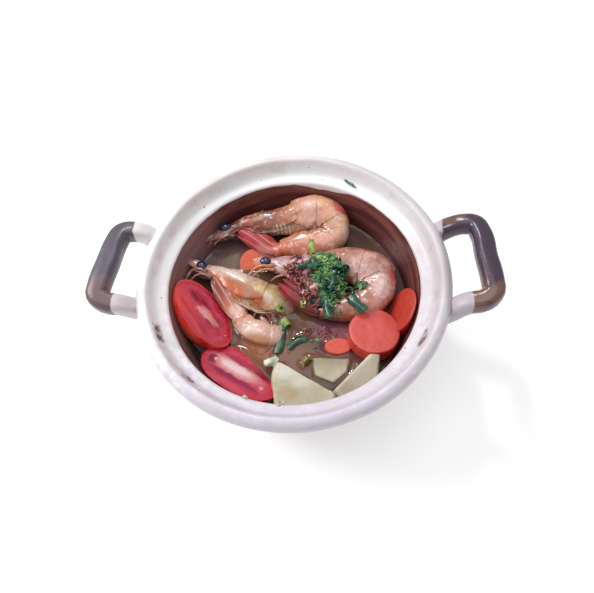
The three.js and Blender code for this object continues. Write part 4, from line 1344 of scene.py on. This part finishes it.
potato_flesh, tree, shader, place = new_finish(
    "potato_flesh", 0.5, Coat_Weight=0.2, Coat_Roughness=0.3, Subsurface_Weight=0.12, Subsurface_Scale=0.6,
    Subsurface_Radius=(0.003, 0.0026, 0.0015))
blot = cloud(tree, place, 11, 4, 0.6)
grain = cloud(tree, place, 1.5, 4, 0.65)
colour = cover(tree, step(tree, blot, 0.35, 0.65), tone(176, 172, 144), tone(188, 182, 158))
colour = cover(tree, step(tree, blot, 0.54, 0.7, 0.0, 0.7), colour, tone(178, 160, 112))
colour = cover(tree, step(tree, grain, 0.55, 0.8, 0.0, 0.35), colour, tone(158, 152, 124))
_, y, z = split(tree, place)
# Painted highlights make the upper left of the large chunk and the whole chunk against the wall paler. The
# browner place on the right of the large chunk is painted shade. The other browner places are in the flesh.
for middle, half, wash, share in (  # paler and browner places on the cut faces
    ((-4.6, -58, 60), (7, 5, 16), (212, 208, 194), 0.8), ((-2, -73, 60), (8, 5, 16), (166, 146, 108), 0.75),
    ((5.5, -63, 60), (6, 5, 16), (206, 203, 188), 0.6), ((18, -72, 60), (7, 4, 16), (174, 162, 132), 0.5),
    ((44, -60, 60), (17, 17, 17), (208, 200, 180), 0.75), ((36, -69, 60), (5, 4, 16), (176, 164, 132), 0.6),
):
    spot = patch(tree, place, middle, half, 0.6)
    colour = cover(tree, times(tree, spot, share), colour, tone(*wash))
colour = cover(tree, step(tree, z, 49.5, 54, 0.7, 0.0), colour, tone(142, 122, 90))
far_edge = times(tree, step(tree, y, -56, -46), step(tree, z, 56, 54))
colour = cover(tree, times(tree, far_edge, 0.5), colour, tone(132, 118, 100))
tree.links.new(colour, shader.inputs["Base Color"])
relief(tree, shader, plus(tree, grain, times(tree, blot, 0.8)), 0.4, 0.6)
for seed, (name, sizes) in enumerate(POTATOES.items()):
    piece = potato_chunk(name + "_chunk", seed=seed * 5.1 + 1, **sizes)
    piece.data.materials.append(potato_flesh)
    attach(piece, "root")
    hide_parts(name)
    laid[name] = {"chunk": piece}

# ------------------------------------------------------------------ herbs and fried shallot
# A heap of chopped garnish on the middle shrimp: rings and slit leaves of spring onion, torn herb leaves
# and crisp red-brown shallot, over a low core of the same.
HEAP_MIDDLE = (20, 5.5, 60)
HEAP_HALF = (15, 15, 7)
ABOVE_ALL = 120    # the height from which bits are dropped
LOWEST_BIT = 52    # a bit that would land lower than this is left out
LEAF_RINGS = 25
chance = random.Random(41)
noise.seed_set(41)  # or noise_vector, which crumples the bits, would differ from run to run


def leafy(name, length, width, thick, curl, sides=8, count=7):
    """A small thin leaf along X with a pointed end, curling upwards across its width."""
    rings = []
    for i in range(count):
        s = i / (count - 1)
        shape = math.sin(math.pi * (0.1 + 0.84 * s)) ** 0.7
        rings.append((length * (s - 0.5), 0, max(0.1, width / 2 * shape), thick))
    piece = drawn_tube(name, rings, sides)
    close_up(piece)
    for vertex in piece.data.vertices:
        y = vertex.co.y / MM / width * 2
        vertex.co.z += (curl * y * y + 0.4 * math.sin(vertex.co.x / MM * 1.1)) * MM
    return piece


def onion_ring(name, radius, length, wall, slit=False, sides=14, cuts=1):
    """A slice of a hollow onion leaf: a short tube with an open middle, slit down one side or whole."""
    bpy.ops.mesh.primitive_cylinder_add(
        vertices=sides, radius=radius * MM, depth=length * MM, end_fill_type="NOTHING")
    piece = open_up(name)
    bpy.ops.mesh.subdivide(number_cuts=cuts)
    if slit:
        cut_away(piece, lambda p, n: n.x > 0.75)
    bpy.ops.object.mode_set(mode="OBJECT")
    for vertex in piece.data.vertices:
        p = vertex.co / MM
        vertex.co.x *= 1 + 0.12 * math.sin(3 * math.atan2(p.y, p.x) + length)
        vertex.co.z *= 1 + 0.1 * math.sin(2 * math.atan2(p.y, p.x))
        vertex.co.xy *= 1 - 0.06 * abs(p.z) / length
    apply_to(piece, "SOLIDIFY", thickness=wall * MM, offset=-1)
    return piece


def crumb(name, size, seed, wide):
    """A crisp curled scrap of fried shallot or a torn bit of herb."""
    rings = []
    for i in range(6):
        s = i / 5
        high = max(0.15, wide * size * math.sin(math.pi * (0.15 + 0.7 * s)))
        rings.append((size * (s - 0.5), 0.25 * size * math.sin(3 * s + seed), high, max(0.12, 0.16 * size)))
    piece = drawn_tube(name, rings, 6)
    close_up(piece)
    for vertex in piece.data.vertices:
        vertex.co += noise.noise_vector(vertex.co / MM * 0.8 + Vector((seed, 0, 0))) * size * 0.12 * MM
    return piece


def ruffled(piece, depth, grain):
    """Roughens a piece so that its edges are torn and wavy."""
    for vertex in piece.data.vertices:
        vertex.co += noise.noise_vector(vertex.co / MM / grain) * depth * MM
    return piece


def folded_leaf(name, length, width, fold, bend):
    """A length of onion leaf, folded along its middle, with blunt cut ends and a gentle bend."""
    rings = []
    for i in range(LEAF_RINGS):
        s = i / (LEAF_RINGS - 1)
        rings.append((length * (s - 0.5), 0, width / 2 * (0.9 + 0.1 * math.sin(9 * s)), 0.75))
    piece = drawn_tube(name, rings, 20)
    close_up(piece, 60)
    for vertex in piece.data.vertices:
        along, across = vertex.co.x / MM / length * 2, vertex.co.y / MM / width * 2
        vertex.co.z += (fold * (1 - abs(across)) - 0.6 * abs(along) ** 3) * MM
        vertex.co.y += bend * along * along * MM
    return ruffled(piece, 0.35, 3)


# The core is a low lumpy mound; everything else lies on it or on the shrimps round it.
bpy.ops.mesh.primitive_uv_sphere_add(segments=48, ring_count=24, radius=1)
core = open_up("garnish_core")
bpy.ops.transform.resize(value=[size * MM for size in HEAP_HALF], center_override=(0, 0, 0))
bpy.ops.object.mode_set(mode="OBJECT")
for vertex in core.data.vertices:
    p = vertex.co / MM
    vertex.co *= 1 + 0.14 * noise.noise(p / 5) + 0.1 * noise.noise(p / 2.2)
lay_down(core, HEAP_MIDDLE, (0, 0, 0))

GARNISH = {  # the pieces of each kind, and (x, y, spread along x, spread along y, how many) for each clump
    "leaf": ([leafy("leaf", 7, 4.6, 0.3, 0.7), leafy("leaf", 9.5, 5.6, 0.32, 1.0),
              leafy("leaf", 5, 3.4, 0.28, 0.5)], (
                  (24, 10, 7, 8, 24), (27, -6, 4, 6, 9), (14, 19, 3, 3, 5), (36, 2, 4, 4, 6),
                  (46, 4, 2.5, 2, 4), (10, 4, 5, 5, 3), (25, 22, 6, 3, 6))),
    "ring": ([onion_ring("ring", 2, 3, 1.1), onion_ring("ring", 1.7, 3.6, 0.9),
              onion_ring("ring", 2.3, 2.4, 1.2)], (
                  (29.6, 1.4, 0.8, 0.8, 2), (35.1, -1.8, 0.8, 0.8, 2), (24, 24, 2.4, 1.5, 3),
                  (18.3, 25, 1.5, 1.5, 2), (22, 16, 5, 4, 4), (6.8, -8, 0.5, 0.5, 1), (30, 10, 3, 3, 2))),
    "slit": ([onion_ring("slit", 3.6, 10, 0.5, True), onion_ring("slit", 3, 7, 0.5, True)], (
                  (26, 3, 4, 5, 4), (13, 18, 2, 2, 1), (38, -3, 2, 2, 1), (31, 14, 4, 4, 2))),
    "sprig": ([crumb("sprig", 4.2, 2, 0.42), crumb("sprig", 5.6, 5, 0.34), crumb("sprig", 3.2, 8, 0.5)], (
                  (25, 14, 7, 8, 104), (20, 25, 5, 3, 20), (32, 8, 5, 6, 24), (47, 4, 2, 2, 9),
                  (12, 5, 6, 6, 12), (28, -10, 3, 4, 7))),
    "shallot": ([crumb("shallot", 3.8, 1, 0.34), crumb("shallot", 5, 4, 0.24),
                 crumb("shallot", 2.8, 7, 0.4)], (
                  (-1, 16, 5, 4, 44), (8, 9, 5, 5, 46), (10, -1, 5, 5, 54), (1.6, 26, 2.6, 1.6, 8),
                  (16, -9, 4, 3, 12), (35, 2, 5, 6, 6))),
    "petal": ([crumb("petal", 4.4, 3, 0.42), crumb("petal", 3.4, 6, 0.5)], (
                  (8.5, 10.5, 1.2, 1.2, 3), (8, -1.7, 1.0, 1.0, 3), (2, 22, 3, 3, 6), (26, -9, 3, 4, 3),
                  (-3, 15, 3, 3, 7), (12, 4, 5, 5, 6))),
}


def leaf_finish(name, dark, light, rough, wet):
    """Garnish green or brown: each bit a little lighter or darker than its neighbours."""
    finish, tree, shader, place = new_finish(name, rough, Coat_Weight=wet, Coat_Roughness=0.15)
    bit = cloud(tree, place, 4, 3, 0.6)
    vein = cloud(tree, place, 0.9, 2)
    colour = cover(tree, step(tree, bit, 0.38, 0.62), tone(*dark), tone(*light))
    colour = cover(tree, step(tree, vein, 0.5, 0.8, 0.0, 0.35), colour, tone(*light))
    tree.links.new(colour, shader.inputs["Base Color"])
    relief(tree, shader, vein, 0.15, 0.6)
    return finish


GARNISH_TONES = {
    "leaf": leaf_finish("herb_leaf", (24, 68, 40), (72, 124, 68), 0.4, 0.35),
    "ring": leaf_finish("onion_ring_green", (104, 144, 58), (164, 192, 106), 0.4, 0.3),
    "slit": leaf_finish("onion_leaf_green", (8, 56, 42), (24, 92, 64), 0.26, 0.6),
    "sprig": leaf_finish("herb_sprig", (44, 92, 46), (112, 156, 92), 0.5, 0.15),
    "shallot": leaf_finish("fried_shallot", (80, 28, 30), (154, 80, 74), 0.5, 0.2),
    "petal": leaf_finish("pink_shallot", (158, 90, 106), (220, 174, 174), 0.4, 0.3),
}


def tree_of(pieces):
    """The surface of several pieces together, to ask how near a place is to it."""
    points, faces = [], []
    for piece in pieces:
        first = len(points)
        points.extend(v.co.copy() for v in piece.data.vertices)
        faces.extend([first + i for i in face.vertices] for face in piece.data.polygons)
    return BVHTree.FromPolygons(points, faces)


under = tree_of([core, *[piece for made in laid.values() for piece in made.values()]])


def strew(models, clumps, name):
    """Drops copies of the models in clumps, each turned at random and lying on what is under it."""
    made = []
    for x0, y0, spread_x, spread_y, count in clumps:
        for _ in range(count):
            x, y = chance.gauss(x0, spread_x * 0.6), chance.gauss(y0, spread_y * 0.6)
            spin = [chance.uniform(0, 2 * math.pi), chance.gauss(0, 0.5), chance.gauss(0, 0.5)]
            lift = chance.uniform(0.1, 1.5)
            size = chance.uniform(0.75, 1.25)
            model = models[chance.randrange(len(models))]
            spot, slope, _, _ = under.ray_cast(Vector((x, y, ABOVE_ALL)) * MM, Vector((0, 0, -1)))
            if spot is None or spot.z < LOWEST_BIT * MM:
                continue
            piece = copy_of(model, name)
            turn = slope.to_track_quat("Z", "Y").to_matrix().to_4x4()
            twist = Matrix.Rotation(spin[0], 4, "Z") @ Matrix.Rotation(spin[1], 4, "X")
            twist = twist @ Matrix.Rotation(spin[2], 4, "Y") @ Matrix.Scale(size, 4)
            piece.data.transform(Matrix.Translation(spot + slope * lift * MM) @ turn @ twist)
            made.append(piece)
    return join_into(made[0], made[1:])


heap = []
for name, (models, clumps) in GARNISH.items():
    piece = strew(models, clumps, "garnish_" + name)
    piece.data.materials.clear()
    piece.data.materials.append(GARNISH_TONES[name])
    heap.append(piece)
    for model in models:
        bpy.data.objects.remove(model)

# Larger lengths of folded leaf lie on and round the heap: their size, place and heading.
BLADES = (
    (15, 7.5, 43.7, -11.3, -50), (14, 6.5, 23.3, -14.2, -78), (9, 5, 6.4, 18.5, 20), (9, 6, 14, 20, -60),
    (11, 6, 27, 4, 70), (9, 5.5, 33, 12, 30),
)
blades = []
for length, width, x, y, heading in BLADES:
    piece = folded_leaf("blade", length, width, 1.6, 0.8)
    spot = under.ray_cast(Vector((x, y, ABOVE_ALL)) * MM, Vector((0, 0, -1)))[0] / MM
    lay_down(piece, (x, y, spot.z + 2.2), (8, 0, heading))
    blades.append(piece)
blades = join_into(blades[0], blades[1:])
blades.name = "garnish_blades"
blades.data.materials.append(GARNISH_TONES["slit"])

# A light green stem lies across the far edge of the heap, and a strip of dark leaf on the pot's ledge.
stem = onion_ring("garnish_stem", 1.9, 10, 0.7, cuts=5)
lay_down(stem, (12.4, 34.5, 69), (-62, 0, 4))
strip = leafy("garnish_strip", 11.5, 2.2, 0.3, 0.1, 10, 15)
lay_down(strip, (40.7, 82, 81.6), (8, 0, -42))
stem.data.materials.append(GARNISH_TONES["ring"])
strip.data.materials.append(GARNISH_TONES["slit"])
core.data.materials.append(GARNISH_TONES["leaf"])
for piece in [core, *heap, blades, stem, strip]:
    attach(piece, "root")
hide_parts("herb_heap")

# ------------------------------------------------------------------ loose spring onion
# Six pieces of spring onion float by themselves: a ring, a short bit, a long folded leaf, a small torn
# leaf, a pale frilly slice and a curled ring that has nearly sunk.
FRESH = leaf_finish("onion_fresh", (104, 132, 50), (160, 174, 86), 0.35, 0.4)
PALE = leaf_finish("onion_pale", (168, 186, 156), (206, 214, 196), 0.4, 0.3)
SUNK = leaf_finish("onion_sunk", (112, 108, 70), (156, 150, 106), 0.4, 0.3)
LEAF = leaf_finish("onion_leaf_dark", (22, 48, 34), (44, 92, 58), 0.3, 0.5)


def frill(name):
    """A solid frilly end of white onion."""
    rings = [(-5, 0, 0.6, 0.6), (-4, 0, 2.4, 1.8), (-1.5, 0.2, 3.2, 2.2), (1.5, 0, 2.8, 2.1),
             (4, 0.3, 3.4, 1.8), (5.4, 0, 0.8, 0.6)]
    piece = drawn_tube(name, eased(rings, 4), 28)
    close_up(piece)
    return ruffled(ruffled(piece, 1.3, 2.4), 0.5, 0.9)


LOOSE = {  # each piece, its place, its turn and its finish
    "onion_ring": (onion_ring("loose_ring", 3.2, 4.6, 1.7, sides=28, cuts=3),
                   (-9.9, -8.6, 55.4), (40, 0, 24), FRESH),
    "onion_bit": (onion_ring("loose_bit", 2.8, 6, 1.6, sides=24, cuts=3),
                  (-6.4, -18.6, 51.4), (96, 0, 40), FRESH),
    "onion_leaf_long": (folded_leaf("loose_leaf_long", 27, 7.5, 1.5, 1.8),
                        (-8.6, -28.6, 50), (0, 0, 84), LEAF),
    "onion_leaf_short": (folded_leaf("loose_leaf_short", 14.5, 7, 1.0, -1.6),
                         (1.4, -32.6, 50), (0, 0, 34), LEAF),
    "onion_pale": (frill("loose_pale"), (-14.6, -49.6, 54.5), (0, 8, 20), PALE),
    "onion_curl": (onion_ring("loose_curl", 4.4, 3.2, 1.1, sides=32, cuts=3),
                   (9.5, -48.2, 50.4), (64, 0, 40), SUNK),
}
for name, (piece, at, turn, finish) in LOOSE.items():
    lay_down(piece, at, turn)
    piece.data.materials.append(finish)
    shade(piece, 50)
    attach(piece, "root")
    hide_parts(name)
    laid[name] = {"piece": piece}

# ------------------------------------------------------------------ the broth
# Murky broth up to a little over half the height of the pot. Its surface climbs a little way up the
# wall and up every piece that stands out of it.
SOUP_LEVEL = 49
SOUP_SIDES = 288
SOUP_EDGE = 80.6
SOUP_DEPTHS = [
    (0.5, 9), (46, 9.4), (60, 11.6), (69, 17.6), (74.2, 26.5), (77.8, 37.5), (79.6, 44), (SOUP_EDGE, 49.4),
]
SURFACE_STEP = 0.85
CLIMB = 1.0          # how high the broth climbs where it touches, and how far out from there
CLIMB_REACH = 1.25
FARTHEST_CLIMB = 6

surface = []
reach = SOUP_EDGE - SURFACE_STEP / 2
while reach > SURFACE_STEP:
    surface.append((reach, SOUP_LEVEL))
    reach -= SURFACE_STEP
broth_line = [(r * MM, z * MM) for r, z in [*SOUP_DEPTHS, *surface, (0.3, SOUP_LEVEL)]]
bpy.ops.mesh.primitive_circle_add(
    vertices=SOUP_SIDES, radius=broth_line[0][0], fill_type="NGON", location=(0, 0, broth_line[0][1]))
broth = open_up("broth")
draw_through([((0, 0, z), (r, r, 1)) for r, z in broth_line])
close_up(broth)

shore = tree_of([piece for made in laid.values() for piece in made.values()])
for vertex in broth.data.vertices:
    if vertex.co.z < (SOUP_LEVEL - 0.1) * MM or vertex.co.xy.length > (SOUP_EDGE - 0.2) * MM:
        continue
    near = shore.find_nearest(vertex.co, FARTHEST_CLIMB * MM)[3]
    away = SOUP_EDGE - vertex.co.xy.length / MM
    if near is not None:
        away = min(away, near / MM)
    p = vertex.co / MM
    wave = 0.16 * noise.noise(p / 11) + 0.07 * noise.noise(p / 4)
    vertex.co.z += (CLIMB * math.exp(-away / CLIMB_REACH) + wave) * MM

soup_finish, tree, shader, place = new_finish(
    "murky_broth", 0.1, Coat_Weight=0.3, Coat_Roughness=0.04, IOR=1.36)
x, y, _ = split(tree, place)
flat = point(tree, x, y)
murk = cloud(tree, flat, 22, 4, 0.6, 0.4)
fine = cloud(tree, flat, 3.5, 4, 0.65)
colour = cover(tree, step(tree, murk, 0.35, 0.7), tone(82, 56, 46), tone(104, 74, 58))
# Places in the broth are painted darker and lighter. They are partly the broth's own murk and partly painted
# light and shade. For example, the far left is painted lighter where the top shrimp's head casts its shadow.
MURK_LIGHT_AND_SHADE = (  # middle, half size, colour, strength
    ((-52, 46), (30, 20), (114, 86, 86), 0.95), ((-30, 52), (26, 14), (104, 78, 80), 0.8),
    ((62, 44), (26, 30), (84, 58, 50), 0.9), ((-2, 30), (26, 12), (84, 52, 46), 0.7),
    ((-70, -50), (22, 22), (58, 26, 30), 0.95), ((78, -38), (14, 16), (66, 26, 28), 0.9),
    ((74, 10), (12, 30), (70, 36, 32), 0.8), ((-10, -44), (28, 11), (124, 72, 52), 0.9),
    ((-22, -36), (18, 10), (140, 84, 56), 0.85), ((14, -30), (18, 10), (94, 52, 44), 0.85),
    ((34, -26), (16, 8), (136, 76, 88), 0.9), ((26, -19), (12, 4), (104, 64, 78), 0.85),
    ((-16, -14), (12, 8), (112, 62, 54), 0.7), ((40, -44), (14, 8), (106, 70, 62), 0.7),
    ((4, -44), (12, 7), (112, 78, 58), 0.7), ((20, -36), (6, 4), (72, 42, 50), 0.7),
)
WANDER = (10, 5)  # how far the murk makes the edges of these places stray, and half of it moves them
ragged = shifted(tree, "ADD", flat, point(tree, times(tree, murk, WANDER[0]), times(tree, fine, WANDER[1])))
for (mx, my), (hx, hy), wash, share in MURK_LIGHT_AND_SHADE:
    spot = patch(tree, ragged, (mx + WANDER[0] / 2, my + WANDER[1] / 2, 0), (hx, hy, 1), 0.55)
    colour = cover(tree, times(tree, spot, share), colour, tone(*wash))

# A potato that lies just under the surface shows as a paler place, clearer at its right edge.
sunk = patch(tree, flat, (-52.5, 36.5, 0), (8.6, 9.5, 1), 0.12)
sunk_edge = put(tree, "ShaderNodeVectorMath", {0: flat, 1: (0.78, -0.62, 0)}, operation="DOT_PRODUCT")
clearer = step(tree, sunk_edge.outputs["Value"], -72, -54, 0.2, 0.75)
colour = cover(tree, times(tree, sunk, clearer), colour, tone(122, 112, 88))
grit = step(tree, grains(tree, flat, 2.6)[0], 0.1, 0.28, 1.0, 0.0)
grit = times(tree, grit, step(tree, murk, 0.42, 0.6))
colour = cover(tree, times(tree, grit, 0.4), colour, tone(84, 52, 44))
tree.links.new(colour, shader.inputs["Base Color"])
relief(tree, shader, cloud(tree, flat, 6, 2), 0.35, 0.35)
broth.data.materials.append(soup_finish)
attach(broth, "root")
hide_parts("soup")

# Scraps of shallot and herb float on the open broth, and a few pale ones lie on the pot's ledge.
SCRAPS = (  # colour, then (x, y, height, spread, how many) for each group
    ("shallot", ((22, -26, 49.4, 7, 26), (8, -24, 49.4, 5, 14), (36, -38, 49.4, 4, 6),
                 (-18, -42, 49.4, 6, 5))),
    ("sprig", ((16, -32, 49.5, 6, 7), (28, -30, 49.5, 3, 4))),
)
for kind, groups in SCRAPS:
    model = crumb("scrap", 2.6, 3, 0.34)
    scraps = []
    for x, y, height, spread, count in groups:
        for _ in range(count):
            piece = copy_of(model, "scrap")
            piece.data.transform(Matrix.Scale(chance.uniform(0.5, 1.1), 4))
            at = (chance.gauss(x, spread * 0.6), chance.gauss(y, spread * 0.4), height)
            lay_down(piece, at, (chance.uniform(-20, 20), 0, chance.uniform(0, 360)))
            scraps.append(piece)
    bpy.data.objects.remove(model)
    scraps = join_into(scraps[0], scraps[1:])
    scraps.name = "scraps_" + kind
    scraps.data.materials.append(GARNISH_TONES[kind])
    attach(scraps, "root")
LEDGE_HEIGHT = 79.3
pale_bits = []
for x, y, size in ((-5.5, -85.8, 3.4), (-3.2, -85, 2.6), (-26.2, -81.6, 2.8)):
    piece = crumb("scrap", size, x, 0.44)
    lay_down(piece, (x, y, LEDGE_HEIGHT), (0, 0, 40 * size))
    pale_bits.append(piece)
pale_bits = join_into(pale_bits[0], pale_bits[1:])
pale_bits.name = "scraps_pale"
pale_bits.data.materials.append(potato_flesh)
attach(pale_bits, "root")
